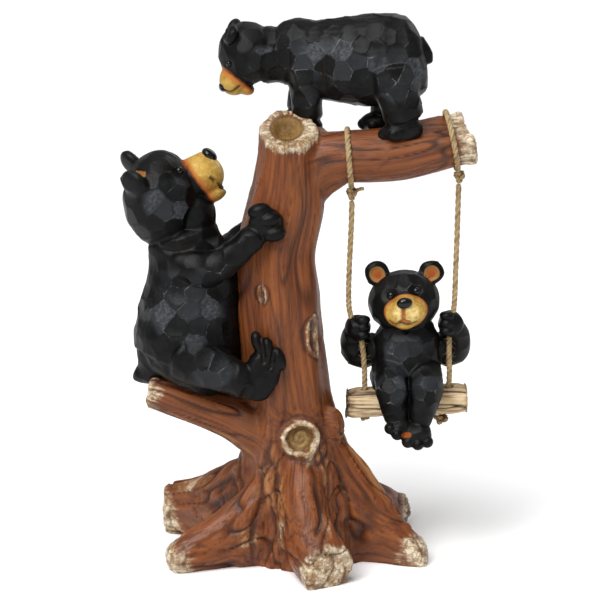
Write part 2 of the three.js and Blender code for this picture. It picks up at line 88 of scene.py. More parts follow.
ROOTS = dict(
    front=dict(ridge=[(0, -16, 98), (4, -40, 78), (8, -52, 58), (14.5, -62, 40), (21.5, -73, 27)],
               widths=[20, 17, 16, 19, 22.5]),
    left_front=dict(ridge=[(-8, -4, 96), (-33, -18, 66), (-54, -22, 47), (-76, -28, 32), (-98.5, -35, 18)],
                    widths=[22, 16, 15, 15, 15]),
    left_back=dict(ridge=[(-10, 2, 96), (-43, 12, 73), (-70, 39, 52), (-86, 52, 44), (-104.5, 61, 36)],
                   widths=[22, 17, 15, 14, 13]),
    right_front=dict(ridge=[(12, -2, 108), (42, -9, 80), (58, -13, 58), (76, -18, 35), (95, -21, 12.5)],
                     widths=[22, 17, 15, 13.5, 11]),
    right_back=dict(ridge=[(10, 6, 92), (38, 24, 62), (54, 42, 47), (68, 64, 35), (79.5, 86, 22)],
                    widths=[22, 17, 15, 13.5, 12]),
    back=dict(ridge=[(-2, 12, 92), (-6, 36, 60), (-14, 56, 36), (-22, 73, 20)], widths=[22, 17, 15, 13]),
)
BUTTRESSES = dict(
    front_left=dict(ridge=[(-6, -8, 82), (-17, -22, 48), (-24, -27, 20), (-27, -28, 6)], widths=[14, 11, 9, 8]),
    front_right=dict(ridge=[(8, -10, 86), (22, -27, 52), (30, -31, 24), (34, -32, 6)], widths=[14, 11, 9, 8]),
    left=dict(ridge=[(-14, 4, 76), (-46, 4, 44), (-61, 6, 16)], widths=[16, 13, 11]),
    right=dict(ridge=[(14, 6, 76), (46, 14, 42), (64, 22, 14)], widths=[16, 13, 10]),
)
PERCH_WEB = dict(line=[(-28, -2, 100), (-33, 0, 78), (-42, 7, 54)], radii=[12, 11.5, 12])
ROOT_BELOW = 5
FOOT_AXIS = (0, 3, 0)
FOOT_RADIUS = 30
FOOT_LOW = 30
FOOT_RISE = 80
FOOT_SPREAD = 34
FOOT_STRETCH = 420
BURL = dict(at=(23.5, -14, 103), size=(9.5, 9, 14))
BIG_KNOT = (0, -35, 97.5)
BIG_KNOT_RADIUS = 11.2
BIG_KNOT_TAIL = [(6, -37, 88), (8, -38, 84), (7, -40, 80)]
SMALL_KNOT = [(-27.6, -26, 209), (-27.2, -27, 202), (-26, -27, 194)]
SCAR = [(10.2, -21, 185), (9, -21, 178), (8.6, -21, 170), (9.8, -21, 162.5), (11.8, -21, 154)]

# Climbing bear, mirrored across its mid-plane
CLIMBER_MID = -2
CLIMBER_TORSO = dict(
    line=[(-91, -2, 133), (-83, -2, 149), (-81, -2, 167), (-79.5, -2, 188), (-78.5, -2, 206), (-80, -2, 224),
          (-87, -2, 246)],
    radii=[28, 37.6, 39.6, 37, 32.5, 29.5, 25],
    breadth=0.87,
)
CLIMBER_TAIL = dict(line=[(-97, -2, 162), (-104.5, -2, 148), (-111.5, -2, 139.5), (-121.5, -2, 134)],
                    radii=[19.5, 16.5, 10.5, 2.6])
CLIMBER_SKULL = dict(at=(-99, -2, 266.5), size=(27.5, 30, 34.5))
CLIMBER_THROAT = dict(at=(-76, -2, 254), size=(16, 18, 18))
CLIMBER_MUZZLE = dict(at=(-70, -2, 283), size=(16, 14.5, 15.5))
CLIMBER_JAW = dict(at=(-61.5, -2, 270.5), size=(10, 9, 6.5), turn=(0, -25, 0))
CLIMBER_BELLY = dict(at=(-58, -2, 204), size=(16, 22, 30))
CLIMBER_BRIDGE = dict(line=[(-88, -2, 284), (-76, -2, 288), (-64, -2, 295.5)], radii=[9.5, 9, 7])
CLIMBER_NOSE = dict(at=(-64.4, -2, 297.4), size=(6.4, 6.6, 4.2), turn=(0, 42, 0))
CLIMBER_EARS = [
    dict(at=(-115.5, -23, 278.4), size=(6.5, 12, 12.5), turn=(0, -42, 40)),
    dict(at=(-121, 16, 290), size=(5.5, 10.5, 10.5), turn=(0, -42, 30)),
]
CLIMBER_EAR_CUP = 8.5
CLIMBER_EYE = (-85, 288.5)
CLIMBER_SOCKET = (-86.5, 289.5)
CLIMBER_ARM = dict(line=[(-92, -11, 223), (-66, -26, 219), (-46, -31, 231), (-27, -30.5, 248)],
                   radii=[15, 13, 10.2, 9.4])
CLIMBER_PAW = dict(at=(-24, -30, 252), size=(12.5, 8.5, 12.5), turn=(0, -40, 0))
CLIMBER_FINGERS = [(-28.5, -33, 261.5), (-21.5, -35, 255.5), (-18, -34.5, 245.5)]
CLIMBER_FINGER = dict(size=(8.6, 6.2, 5.6), turn=(0, -12, 0))
CLIMBER_LEG = dict(line=[(-88, -20, 158), (-68, -27, 151), (-50, -31, 144), (-34, -33, 137)],
                   radii=[21, 17, 13.5, 12])
CLIMBER_FOOT = dict(at=(-27, -32, 145), size=(13, 9.5, 21), turn=(0, 16, 0))
CLIMBER_HEEL = dict(at=(-36, -32, 136), size=(10, 10, 10))
CLIMBER_TOES = [(-29.5, -33, 167.5), (-22, -35.5, 163.5), (-15, -35, 156.5)]
CLIMBER_TOE_GAPS = [[(-27.8, 172), (-26.6, 165), (-25.6, 156)], [(-17.8, 167), (-18.8, 161), (-20.8, 151)]]
CLIMBER_TOE = dict(size=(4.8, 5.6, 9.4), turn=(0, -18, 0))
CLIMBER_FACETED = [(-80, 192, 30), (-92, 268, 20), (-60, 226, 16), (-62, 150, 16), (-112, 190, 10)]

# Standing bear
STANDER_TORSO = dict(
    line=[(88.5, 2, 368), (78, 2, 366), (62, 4, 365), (44, 6.5, 364), (25, 9.5, 364.5), (7, 12.5, 366.5),
          (-5, 14, 368.5), (-16, 15, 367.5), (-30, 16, 368)],
    radii=[20, 29.6, 32.8, 32.4, 30, 25.8, 25.4, 20, 21],
    breadth=0.79,
)
STANDER_SKULL = dict(at=(-37, 16, 368.8), size=(21.5, 21.5, 22.5))
STANDER_MUZZLE = dict(at=(-45.4, 15, 351.4), size=(11.6, 11, 13.4), turn=(0, 38, 0))
STANDER_CHIN = dict(at=(-39, 15, 343.5), size=(6.5, 7, 4.5), turn=(0, 20, 0))
STANDER_NOSE = dict(at=(-54, 15, 345.6), size=(4, 6, 4.6), turn=(0, 30, 0))
STANDER_EARS = [
    dict(at=(-48.4, -1, 382.2), size=(4.4, 7.4, 7.6), turn=(0, 20, 20)),
    dict(at=(-47.5, 29, 385.6), size=(5, 7, 7.4), turn=(0, 20, -20)),
]
STANDER_EYE = (-51, 361.5)
STANDER_HEAD_MID = 15.5
STANDER_TAIL = dict(line=[(82, 1, 379), (88.5, 1, 371), (90, 1, 361.5)], radii=[5, 4.4, 3.8])
STANDER_LEGS = [
    dict(line=[(4, 8, 360), (4, 10.5, 340), (6, 13, 319)], radii=[14.5, 11.5, 10.5], foot=(4, 13, 317)),
    dict(line=[(6, 23, 360), (3, 24, 342), (0, 23, 325)], radii=[14, 11, 10], foot=(-5, 22, 321)),
    dict(line=[(66, -10, 362), (69, -13, 340), (74.5, -12, 321)], radii=[19, 15.5, 13.6], foot=(69, -14, 315)),
    dict(line=[(64, 15, 362), (64, 17, 340), (62, 14, 322)], radii=[18, 14.5, 11], foot=(55.5, 14, 320)),
]
STANDER_FOOT = (12.5, 10, 7)
STANDER_TOE = (5, 4.2, 4.4)
STANDER_TOE_STEP = 6.4
STANDER_TOE_DROP = 1.5
STANDER_HEEL = dict(at=(75, -13, 317.5), size=(11.5, 10.5, 9.5))
STANDER_FACETED = [(4, 364, 20), (34, 362, 24), (70, 356, 22), (-26, 362, 14), (4, 340, 11)]

# Cub and its log seat
SWING_BACK = 3.9
CUB_TORSO = dict(line=[(77.5, 1, 121), (77.5, 0, 135), (78, 0, 151), (77.5, 0, 166), (76.5, -1, 180)],
                 radii=[24, 26.5, 24, 23.5, 16], breadth=0.84)
CUB_SKULL = dict(at=(75.2, -3, 191.2), size=(26, 22, 22.8), turn=(0, -8, 0))
CUB_MUZZLE = dict(at=(75.5, -20, 188), size=(15, 11.5, 12), turn=(0, -8, 0))
CUB_NOSE = dict(at=(74, -30.5, 195), size=(5.6, 3.4, 4), turn=(0, -8, 0))
CUB_EARS = [(55.8, 1, 211), (95.2, 1, 211.8)]
CUB_EAR = (9.2, 4.6, 9.2)
CUB_EAR_CUP = 6.2
CUB_EYES = [(64.6, 199), (83.4, 202)]
CUB_CHEEKS = [(69, -23, 185.8), (81.4, -23, 187.2)]
CUB_CHEEK = (8.6, 8.2, 7.6)
CUB_CHIN = dict(at=(75.4, -21, 178.6), size=(7.4, 6.4, 4.2), turn=(0, -8, 0))
CUB_FACETED = [(76, 155, 17), (65, 133, 13), (91, 133, 13), (80, 206, 12)]
CUB_ARMS = [
    dict(line=[(60, 3, 162), (48, 9, 150), (40.2, 9, 151.2), (38.4, 3, 163), (41.5, -2, 170)],
         radii=[12, 10, 9.5, 8.6, 8]),
    dict(line=[(96, 3, 163), (107, 9, 151), (114.6, 9, 153.2), (115, 3, 165), (110, -2, 173)],
         radii=[12, 10, 9.5, 8.6, 8]),
]
CUB_PAWS = [(42, -2, 171.5), (109.5, -2, 174.5)]
CUB_PAW = (9.4, 9.5, 10)
CUB_FINGER = (5.4, 5.6, 3.5)
CUB_FINGER_STEP = 5.6
CUB_FINGER_FORWARD = 6
CUB_FINGER_INWARD = 3.6
CUB_FINGER_RISE = 1.5
CUB_LEGS = [
    dict(line=[(66, 0, 141), (65.6, -16, 138), (66, -26, 130), (68.2, -27, 117), (70.5, -25, 105)],
         radii=[12, 12.2, 12, 9.8, 7.8]),
    dict(line=[(91, 0, 141), (90.6, -16, 138), (90.4, -26, 131), (88, -28, 117), (85.4, -27, 104)],
         radii=[12, 12.2, 12.2, 9.8, 7.8]),
]
CUB_FEET = [
    dict(at=(71.5, -29, 104.5), size=(9.5, 10, 7), toes=[(64.6, -34, 104.5), (69.4, -36.5, 101)]),
    dict(at=(84.2, -32, 100), size=(10.6, 10, 8.6), toes=[(77, -37, 95.4), (84, -39, 94.2), (90.8, -37, 95.4)]),
]
CUB_TOE = (4.5, 5.2, 4.4)
CUB_SOLE = [(74, 100.5), (77.6, 101.2)]
SEAT_LINE = [(32.5, 0, 115), (55, 0, 116.4), (78, 0, 116.9), (101, 0, 118.1), (123, 0, 119.3)]
SEAT_HALF_DEPTH = 14.5
SEAT_HALF_HEIGHT = 11.2
SEAT_SQUARENESS = 3.2
SEAT_SPOTS = [(47.2, 0, 4), (108.6, 0, 4), (116.2, 2, 2)]

# Twines: the hanging runs lie in the plane Y = 0, given as X and Z
TWINE = 4.2
TWINE_PITCH = 13
TWINE_STRANDS = 3
KNOTS = dict(left=(37.03, 0, 270.06), right=(113.75, 0, 282.22))
KNOT_REACH = (4.6, 3.8, 5.6)
KNOT_ROPE = 3.3
LEFT_TAIL = [(38, -2, 270), (41.5, -3.5, 273), (45.5, -4.5, 274)]
LOOP_AT = dict(left=0.3145, right=0.8555)
LOOP_SINK = 0.9
LOOP_POINTS = 40
LOOP_GAP = 0.14
RUNS = dict(
    left=[(37.2, 264.8), (37, 252), (36.5, 239), (36, 227), (35.5, 215), (35.2, 203), (35.2, 193), (35.9, 184.5),
          (38.4, 176.5), (41.8, 169), (44.7, 161.5), (46.1, 152.5), (46.8, 143.5), (47.2, 134.5), (47.2, 125.5),
          (47.1, 116.5), (47, 104.6)],
    right=[(113.4, 276.95), (113.2, 264), (113, 251), (112.8, 238), (112.5, 225), (112.2, 212), (112, 200),
           (111.7, 191), (111, 183), (109.9, 175.5), (108.8, 168), (108.4, 159.5), (108.5, 151), (108.8, 142.5),
           (108.8, 134), (108, 125.5), (106, 117), (103, 107)],
)
STOPS = dict(left=(4.8, 4.6, 3), right=(6, 5.4, 4.4))
STOP_RISE = dict(left=4, right=1.5)

# Mesh fineness
TREE_VOXEL = 1.42
CLIMBER_VOXEL = 0.95
STANDER_VOXEL = 0.75
CUB_VOXEL = 0.66
SEAT_VOXEL = 0.7


# Numbers along lines, and noise

def row(values):
    return np.asarray(values, float)


def unit(vectors):
    vectors = row(vectors)
    return vectors / np.maximum(np.linalg.norm(vectors, axis=-1, keepdims=True), 1e-9)


def smoothstep(low, high, value):
    share = np.clip((value - low) / (high - low), 0, 1)
    return share * share * (3 - 2 * share)


def along(points, t):
    """Places at t, from 0 to 1, on a smooth line through the points."""
    p = row(points)
    p = np.vstack([2 * p[0] - p[1], p, 2 * p[-1] - p[-2]])
    place = np.clip(t, 0, 1) * (len(p) - 3)
    i = np.minimum(place.astype(int), len(p) - 4)
    f = (place - i)[:, None]
    a, b, c, d = p[i], p[i + 1], p[i + 2], p[i + 3]
    return b + 0.5 * f * (c - a + f * (2 * a - 5 * b + 4 * c - d + f * (3 * b - a - 3 * c + d)))


def heading(points, t, step=0.004):
    return unit(along(points, t + step) - along(points, t - step))


def stations(values, t):
    """The value at t, from 0 to 1, along a list of stations."""
    return np.interp(t, np.linspace(0, 1, len(values)), values)


def noise(points, seed=0):
    """Smooth noise from 0 to 1 at points, with a unit lattice."""
    points = row(points)
    cell = np.floor(points).astype(np.int64)
    f = points - cell
    f = f * f * (3 - 2 * f)
    total = np.zeros(len(points))
    for corner in np.ndindex(2, 2, 2):
        x, y, z = (cell + corner).T
        mixed = (x * 73856093) ^ (y * 19349663) ^ (z * 83492791) ^ (seed * 2654435761)
        mixed = (mixed ^ (mixed >> 13)) * 1274126177
        value = ((mixed ^ (mixed >> 16)) & 0xFFFF) / 0xFFFF
        weight = np.prod(np.where(corner, f, 1 - f), axis=1)
        total += weight * value
    return total


def rough(points, size, seed=0, octaves=3):
    """Layered noise from -1 to 1, with lumps of about the given size."""
    total = np.zeros(len(points))
    for octave in range(octaves):
        total += (2 * noise(row(points) * 2 ** octave / size, seed + octave) - 1) / 2 ** octave
    return total / 1.75


# Solid forms in a bmesh

def turned(turn):
    return Euler([radians(a) for a in turn], "ZYX").to_matrix().to_4x4()


def ball(bm, at, size, turn=(0, 0, 0)):
    place = Matrix.Translation(at) @ turned(turn) @ Matrix.Diagonal((*size, 1))
    bmesh.ops.create_icosphere(bm, subdivisions=4, radius=1, matrix=place)


def limb(bm, line, radii, side=(0, 1, 0), tips=(0.12, 0.12), shape=None, upright=False, sides=32, rows=48):
    """A tapered limb along a smooth line; shape(t, angle) scales its radius to half width and half height."""
    verts = bmesh.ops.create_uvsphere(bm, u_segments=sides, v_segments=rows, radius=1)["verts"]
    round_form = row([v.co for v in verts])
    t = np.arccos(np.clip(-round_form[:, 2], -1, 1)) / pi
    angle = np.arctan2(round_form[:, 1], round_form[:, 0])
    tangent = heading(line, t)
    wide = unit(row(side) - (tangent @ row(side))[:, None] * tangent)
    high = np.broadcast_to(row((0, 0, 1)), wide.shape) if upright else np.cross(wide, tangent)
    radius = stations(radii, t) * np.where((t < 1e-6) | (t > 1 - 1e-6), 0, 1)
    for share, tip in ((t, tips[0]), (1 - t, tips[1])):
        if tip:
            radius *= np.sqrt(np.clip(1 - np.clip(1 - share / tip, 0, 1) ** 2, 0, 1))
    wider, higher = shape(t, angle) if shape else (1, 1)
    places = along(line, t)
    places += (radius * wider * np.cos(angle))[:, None] * wide + (radius * higher * np.sin(angle))[:, None] * high
    for vert, place in zip(verts, places):
        vert.co = place
    bmesh.ops.recalc_face_normals(bm, faces=list({f for v in verts for f in v.link_faces}))


def torso(bm, part):
    limb(bm, part["line"], part["radii"], tips=(0.06, 0.04), shape=lambda t, angle: (part["breadth"], 1))


def cut(bm, at, normal):
    """Saws off what lies beyond a plane and closes the cut."""
    everything = bm.verts[:] + bm.edges[:] + bm.faces[:]
    made = bmesh.ops.bisect_plane(bm, geom=everything, plane_co=at, plane_no=normal, clear_outer=True)
    rim = [e for e in made["geom_cut"] if isinstance(e, bmesh.types.BMEdge)]
    bmesh.ops.triangle_fill(bm, edges=rim, use_beauty=True)


def take(bm, other):
    """Moves the forms of another bmesh into this one."""
    passing = bpy.data.meshes.new("passing")
    other.to_mesh(passing)
    other.free()
    bm.from_mesh(passing)
    bpy.data.meshes.remove(passing)


def far_side(part):
    """The same part across the climbing bear's mid-plane."""
    def flip(p):
        return (p[0], 2 * CLIMBER_MID - p[1], p[2])
    other = dict(part)
    if "at" in part:
        other["at"] = flip(part["at"])
    if "line" in part:
        other["line"] = [flip(p) for p in part["line"]]
    return other


def fused(bm, voxel, smoothing):
    """One closed skin round all the forms of a bmesh, smoothed, as a mesh."""
    raw = bpy.data.meshes.new("raw")
    bm.to_mesh(raw)
    bm.free()
    holder = bpy.data.objects.new("holder", raw)
    bpy.context.scene.collection.objects.link(holder)
    remesh = holder.modifiers.new("skin", "REMESH")
    remesh.mode = "VOXEL"
    remesh.voxel_size = voxel
    smooth = holder.modifiers.new("smooth", "SMOOTH")
    smooth.factor = 0.5
    smooth.iterations = smoothing
    bpy.context.view_layer.update()
    skin = bpy.data.meshes.new_from_object(holder.evaluated_get(bpy.context.evaluated_depsgraph_get()))
    bpy.data.objects.remove(holder)
    bpy.data.meshes.remove(raw)
    return skin


class Skin:
    """The points and normals of a mesh while it is carved and its paint masks are worked out."""

    def __init__(self, mesh):
        self.mesh = mesh
        self.read()

    def read(self):
        count = len(self.mesh.vertices)
        self.points = np.empty(count * 3)
        self.mesh.vertices.foreach_get("co", self.points)
        self.points = self.points.reshape(-1, 3)
        self.normals = np.empty(count * 3)
        self.mesh.vertex_normals.foreach_get("vector", self.normals)
        self.normals = self.normals.reshape(-1, 3)

    def push(self, amount):
        """Moves every point along its normal."""
        self.mesh.vertices.foreach_set("co", (self.points + self.normals * amount[:, None]).ravel())
        self.mesh.update()
        self.read()

    def stand(self):
        """Flattens what reaches below the floor."""
        self.points[:, 2] = np.maximum(self.points[:, 2], 0)
        self.mesh.vertices.foreach_set("co", self.points.ravel())
        self.mesh.update()

    def store(self, name, values):
        """Keeps one number or one vector for each point, for the paint."""
        kind, field = ("FLOAT_VECTOR", "vector") if np.ndim(values) == 2 else ("FLOAT", "value")
        attribute = self.mesh.attributes.new(name, kind, "POINT")
        attribute.data.foreach_set(field, row(values).astype(np.float32).ravel())

    def near(self, line, count=40, seen=(1, 1, 1)):
        """How far each point is from a smooth line along the axes that are seen, and where along it."""
        t = np.linspace(0, 1, count)
        samples = along(line, t)
        best = np.full(len(self.points), np.inf)
        where = np.zeros(len(self.points))
        for share, sample in zip(t, samples):
            distance = (((self.points - sample) * seen) ** 2).sum(1)
            closer = distance < best
            best[closer] = distance[closer]
            where[closer] = share
        return np.sqrt(best), where

    def inside(self, at, size, turn=(0, 0, 0)):
        """1 on the skin of an ellipsoid, less inside it, more outside."""
        local = (self.points - row(at)) @ row(turned(turn).to_3x3())
        return np.linalg.norm(local / row(size), axis=1)


def finish_piece(name, mesh, paint, body, nodes):
    """Places a mesh in metres as a piece of the statue."""
    mesh.transform(Matrix.Scale(MM, 4))
    mesh.name = name
    mesh.shade_smooth()
    mesh.materials.clear()
    mesh.materials.append(paint)
    piece = bpy.data.objects.new(name, mesh)
    bpy.context.scene.collection.objects.link(piece)
    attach(piece, body)
    if nodes:
        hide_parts(*nodes)
    return piece


# Paint: sockets that take part in sums, and the nodes of one material

class Wire:
    """A shader socket; an expression on it adds Math nodes."""

    def __init__(self, paint, socket):
        self.paint = paint
        self.socket = socket

    def math(self, operation, first, second=0.0):
        return self.paint.node("ShaderNodeMath", dict(operation=operation), {0: first, 1: second})

    def __add__(self, other):
        return self.math("ADD", self, other)

    def __radd__(self, other):
        return self.math("ADD", other, self)

    def __sub__(self, other):
        return self.math("SUBTRACT", self, other)

    def __rsub__(self, other):
        return self.math("SUBTRACT", other, self)

    def __mul__(self, other):
        return self.math("MULTIPLY", self, other)

    def __rmul__(self, other):
        return self.math("MULTIPLY", other, self)

    def between(self, low, high):
        """0 at low and 1 at high, with a smooth step between."""
        settings = dict(interpolation_type="SMOOTHSTEP")
        return self.paint.node("ShaderNodeMapRange", settings, {"Value": self, "From Min": low, "From Max": high})


class Paint:
    """A finish of the statue, made of shader nodes."""

    def __init__(self, name, **constants):
        self.material = bpy.data.materials.new(name)
        self.material.use_nodes = True
        self.tree = self.material.node_tree
        self.shader = self.tree.nodes["Principled BSDF"]
        self.set(**constants)

    def set(self, **values):
        """Feeds the shader's own sockets; an underscore stands for a space."""
        for name, value in values.items():
            self.feed(self.shader.inputs[name.replace("_", " ")], value)

    def feed(self, socket, value):
        if isinstance(value, Wire):
            self.tree.links.new(value.socket, socket)
        else:
            socket.default_value = value

    def node(self, kind, settings=None, sockets=None, output=0):
        made = self.tree.nodes.new(kind)
        for name, value in (settings or {}).items():
            setattr(made, name, value)
        for name, value in (sockets or {}).items():
            self.feed(made.inputs[name], value)
        return Wire(self, made.outputs[output])

    def place(self):
        return self.node("ShaderNodeTexCoord", output="Object")

    def mask(self, name):
        return self.node("ShaderNodeAttribute", dict(attribute_name=name), output="Fac")

    def flow(self, name, scale):
        """A stored vector, scaled so that noise on it is stretched along the grain."""
        stored = self.node("ShaderNodeAttribute", dict(attribute_name=name), output="Vector")
        return self.node("ShaderNodeVectorMath", dict(operation="MULTIPLY"), {0: stored, 1: scale})

    def noise(self, place, scale, detail=3, roughness=0.55):
        sockets = {"Vector": place, "Scale": scale, "Detail": detail, "Roughness": roughness}
        return self.node("ShaderNodeTexNoise", sockets=sockets)

    def mix(self, share, first, second):
        """From the first colour to the second."""
        sockets = {0: share, 6: first, 7: second}
        return self.node("ShaderNodeMix", dict(data_type="RGBA"), sockets, output=2)

    def bump(self, height, distance, strength=1.0):
        sockets = {"Height": height, "Distance": distance * MM, "Strength": strength}
        return self.node("ShaderNodeBump", sockets=sockets)


def colour(red, green, blue):
    return (red, green, blue, 1)


def fur_paint():
    """Black coat with painted sheen on some facets, painted shade in its creases and dry-brushed ridges, ochre
    muzzles, rust lips and orange ears.
    """
    paint = Paint("bear_fur", Specular_IOR_Level=0.13)
    place = paint.place()
    patches = paint.noise(place, 75)
    brush = paint.noise(place, 420, 5, 0.65)
    fine = paint.noise(place, 1500, 3, 0.6)
    facet_sheen = paint.mask("facet_sheen")
    edge = paint.mask("edge")
    muzzle = paint.mask("muzzle") + 1.2 * (paint.noise(place, 260) - 0.5)
    ear = paint.mask("ear")
    crease_shade = paint.mask("crease_shade")
    rust = paint.mask("rust")

    fur = paint.mix(patches.between(0.4, 0.7), colour(0.0016, 0.0017, 0.0017), colour(0.0052, 0.0053, 0.005))
    # Painted sheen: chosen facets are lightened to slate grey, and the brightest of them to a paler grey, as if they
    # caught the light
    sheen_on_facets = (facet_sheen * 1.05 + patches * 0.4 + brush * 0.25).between(0.52, 1.2)
    fur = paint.mix(sheen_on_facets, fur, colour(0.019, 0.0205, 0.0235))
    fur = paint.mix(facet_sheen.between(0.8, 1) * brush.between(0.35, 0.7), fur, colour(0.06, 0.063, 0.07))
    ridge = (1 - (edge + brush * 1.5).between(0.6, 1.55)) * paint.noise(place, 110).between(0.46, 0.64)
    fur = paint.mix(ridge * 0.7, fur, colour(0.22, 0.215, 0.2))
    scratch = brush.between(0.6, 0.74) * (0.03 + 0.16 * facet_sheen)
    fur = paint.mix(scratch, fur, colour(0.22, 0.215, 0.2))

    gold = paint.mix(patches.between(0.35, 0.65), colour(0.32, 0.175, 0.03), colour(0.45, 0.28, 0.06))
    gold = paint.mix(brush.between(0.5, 0.7) * 0.6, gold, colour(0.58, 0.42, 0.15))
    gold = paint.mix((1 - brush.between(0.34, 0.46)) * 0.4, gold, colour(0.21, 0.1, 0.02))
    skin = paint.mix(muzzle.between(-0.7, 0.5), fur, colour(0.17, 0.042, 0.009))
    skin = paint.mix(muzzle.between(0.2, 1.5), skin, colour(0.4, 0.13, 0.025))
    skin = paint.mix(muzzle.between(1.1, 4.6), skin, gold)
    skin = paint.mix(muzzle.between(11, 20) * brush.between(0.25, 0.6), skin, colour(0.68, 0.52, 0.21))
    tan = paint.mix(ear.between(0.5, 2.2), colour(0.29, 0.14, 0.042), colour(0.3, 0.07, 0.014))
    skin = paint.mix(ear.between(0, 0.5), skin, tan)
    skin = paint.mix(rust, skin, colour(0.3, 0.075, 0.013))
    # Painted shade in the carved creases: mouth lines, eye sockets, toe gaps and folds of the coat
    skin = paint.mix(crease_shade, skin, colour(0.007, 0.004, 0.003))
    paint.set(
        Base_Color=skin,
        Roughness=0.32 + 0.16 * patches + 0.2 * ridge,
        Normal=paint.bump(brush + 0.4 * fine, 0.2),
    )
    return paint.material


def bark_paint():
    """Red-brown grooved wood with tan ridges, painted shade in its grooves and hollows, cream where it is cut and
    ochre in its hollows.
    """
    paint = Paint("tree_bark", Specular_IOR_Level=0.3)
    place = paint.place()
    share = paint.mask("side_share")

    def grain(across, length, detail=4):
        scale = (1 / across, 1 / across, 1 / length)
        main = paint.noise(paint.flow("flow_trunk", scale), 1, detail, 0.6)
        side = paint.noise(paint.flow("flow_limb", scale), 1, detail, 0.6)
        return main * (1 - share) + side * share

    streaks = grain(3.6, 60)
    threads = grain(0.85, 24, 3)
    patches = paint.noise(place, 38)
    specks = paint.noise(place, 520, 4, 0.65)
    recess_shade = paint.mask("recess_shade")
    cream = paint.mask("cream")
    hollow = paint.mask("hollow")
    high = paint.mask("high")

    wood = paint.mix(streaks.between(0.3, 0.66), colour(0.1, 0.0235, 0.006), colour(0.22, 0.064, 0.014))
    wood = paint.mix(patches.between(0.45, 0.68) * 0.55, wood, colour(0.14, 0.043, 0.0115))
    ridge = (streaks * 0.5 + threads * 0.42 + patches * 0.32 + high * 0.4).between(0.82, 1.16) * (1 - recess_shade)
    wood = paint.mix(ridge * 0.75, wood, colour(0.38, 0.175, 0.057))
    wood = paint.mix((1 - threads.between(0.3, 0.45)) * 0.5, wood, colour(0.045, 0.011, 0.0045))
    # Painted shade: grooves, root seams, knot moats and scar slits are darkened to near black
    wood = paint.mix(recess_shade * 0.9, wood, colour(0.022, 0.006, 0.0026))
    blots = paint.noise(place, 150, 4, 0.6)
    pale = paint.mix((streaks * 0.3 + specks * 0.2 + blots * 0.5).between(0.4, 0.58), colour(0.27, 0.16, 0.065),
                     colour(0.68, 0.59, 0.43))
    veins = paint.noise(place, 170, 3, 0.5)
    crackle = veins.between(0.43, 0.49) * (1 - veins.between(0.51, 0.57))
    pale = paint.mix(crackle * 0.6, pale, colour(0.16, 0.075, 0.025))
    pale = paint.mix((1 - threads.between(0.34, 0.5)) * 0.25, pale, colour(0.13, 0.055, 0.02))
    ragged = 1.1 * (streaks - 0.5) + 0.3 * (threads - 0.5) + 0.35 * (specks - 0.5) + 0.7 * (patches - 0.5)
    worn = (cream + ragged).between(0.3, 0.85)
    wood = paint.mix(worn * (1 - recess_shade * 0.8), wood, pale)
    ochre = paint.mix((specks * 0.5 + patches * 0.5).between(0.35, 0.65), colour(0.15, 0.075, 0.02),
                      colour(0.33, 0.2, 0.06))
    # Painted shade in the deeper parts of the ochre hollows
    ochre = paint.mix(recess_shade, ochre, colour(0.05, 0.02, 0.006))
    wood = paint.mix(hollow, wood, ochre)
    paint.set(
        Base_Color=wood,
        Roughness=0.4 + 0.2 * (specks - 0.5),
        Normal=paint.bump(streaks * 0.8 + threads * 0.9 + specks * 0.3, 0.6),
    )
    return paint.material


def seat_paint():
    """Weathered pale log with painted shade in the cracks along it and in the dents on its top."""
    paint = Paint("log_seat_wood")
    grain = paint.flow("flow", (1 / 30, 1 / 1.6, 1 / 1.6))
    streaks = paint.noise(grain, 1, 4, 0.6)
    patches = paint.noise(paint.place(), 60)
    specks = paint.noise(paint.place(), 600, 4, 0.65)
    shaded_crack = paint.mask("shaded_crack")
    dark_end = paint.mask("dark_end")
    upward = paint.mask("upward")
    wood = paint.mix(streaks.between(0.36, 0.6), colour(0.25, 0.135, 0.052), colour(0.58, 0.415, 0.22))
    wood = paint.mix(patches.between(0.42, 0.66) * 0.4, wood, colour(0.72, 0.6, 0.41))
    wood = paint.mix(upward * (0.25 + 0.5 * specks), wood, colour(0.2, 0.115, 0.05))
    wood = paint.mix((1 - streaks.between(0.3, 0.42)) * 0.8, wood, colour(0.08, 0.034, 0.012))
    # Painted shade in the cracks and in the dents on the top
    wood = paint.mix(shaded_crack, wood, colour(0.022, 0.009, 0.004))
    wood = paint.mix(dark_end * specks.between(0.25, 0.55), wood, colour(0.04, 0.017, 0.007))
    paint.set(
        Base_Color=wood,
        Roughness=0.55 + 0.2 * (specks - 0.5),
        Normal=paint.bump(streaks + 0.3 * specks, 0.4),
    )
    return paint.material


def jute_paint():
    """Tan twisted fibres, with painted shade between the strands."""
    paint = Paint("jute_twine", Roughness=0.85)
    lay = paint.flow("lay", (2.6, 2.6, 0.22))
    fibres = paint.noise(lay, 1, 4, 0.65)
    shaded_gap = paint.mask("shaded_gap")
    twine = paint.mix(fibres.between(0.32, 0.66), colour(0.2, 0.12, 0.045), colour(0.5, 0.37, 0.19))
    twine = paint.mix(shaded_gap * 0.5, twine, colour(0.1, 0.055, 0.02))
    paint.set(Base_Color=twine, Normal=paint.bump(fibres, 0.35))
    return paint.material


def fibre_paint():
    return Paint("jute_fibre", Base_Color=colour(0.45, 0.33, 0.17), Roughness=0.85).material


def gloss_paint():
    """Wet black of the noses and eyes."""
    constants = dict(Base_Color=colour(0.0022, 0.002, 0.0019), Roughness=0.07, Specular_IOR_Level=0.2)
    return Paint("nose_and_eye_gloss", Coat_Weight=0.2, Coat_Roughness=0.03, **constants).material


# Studio

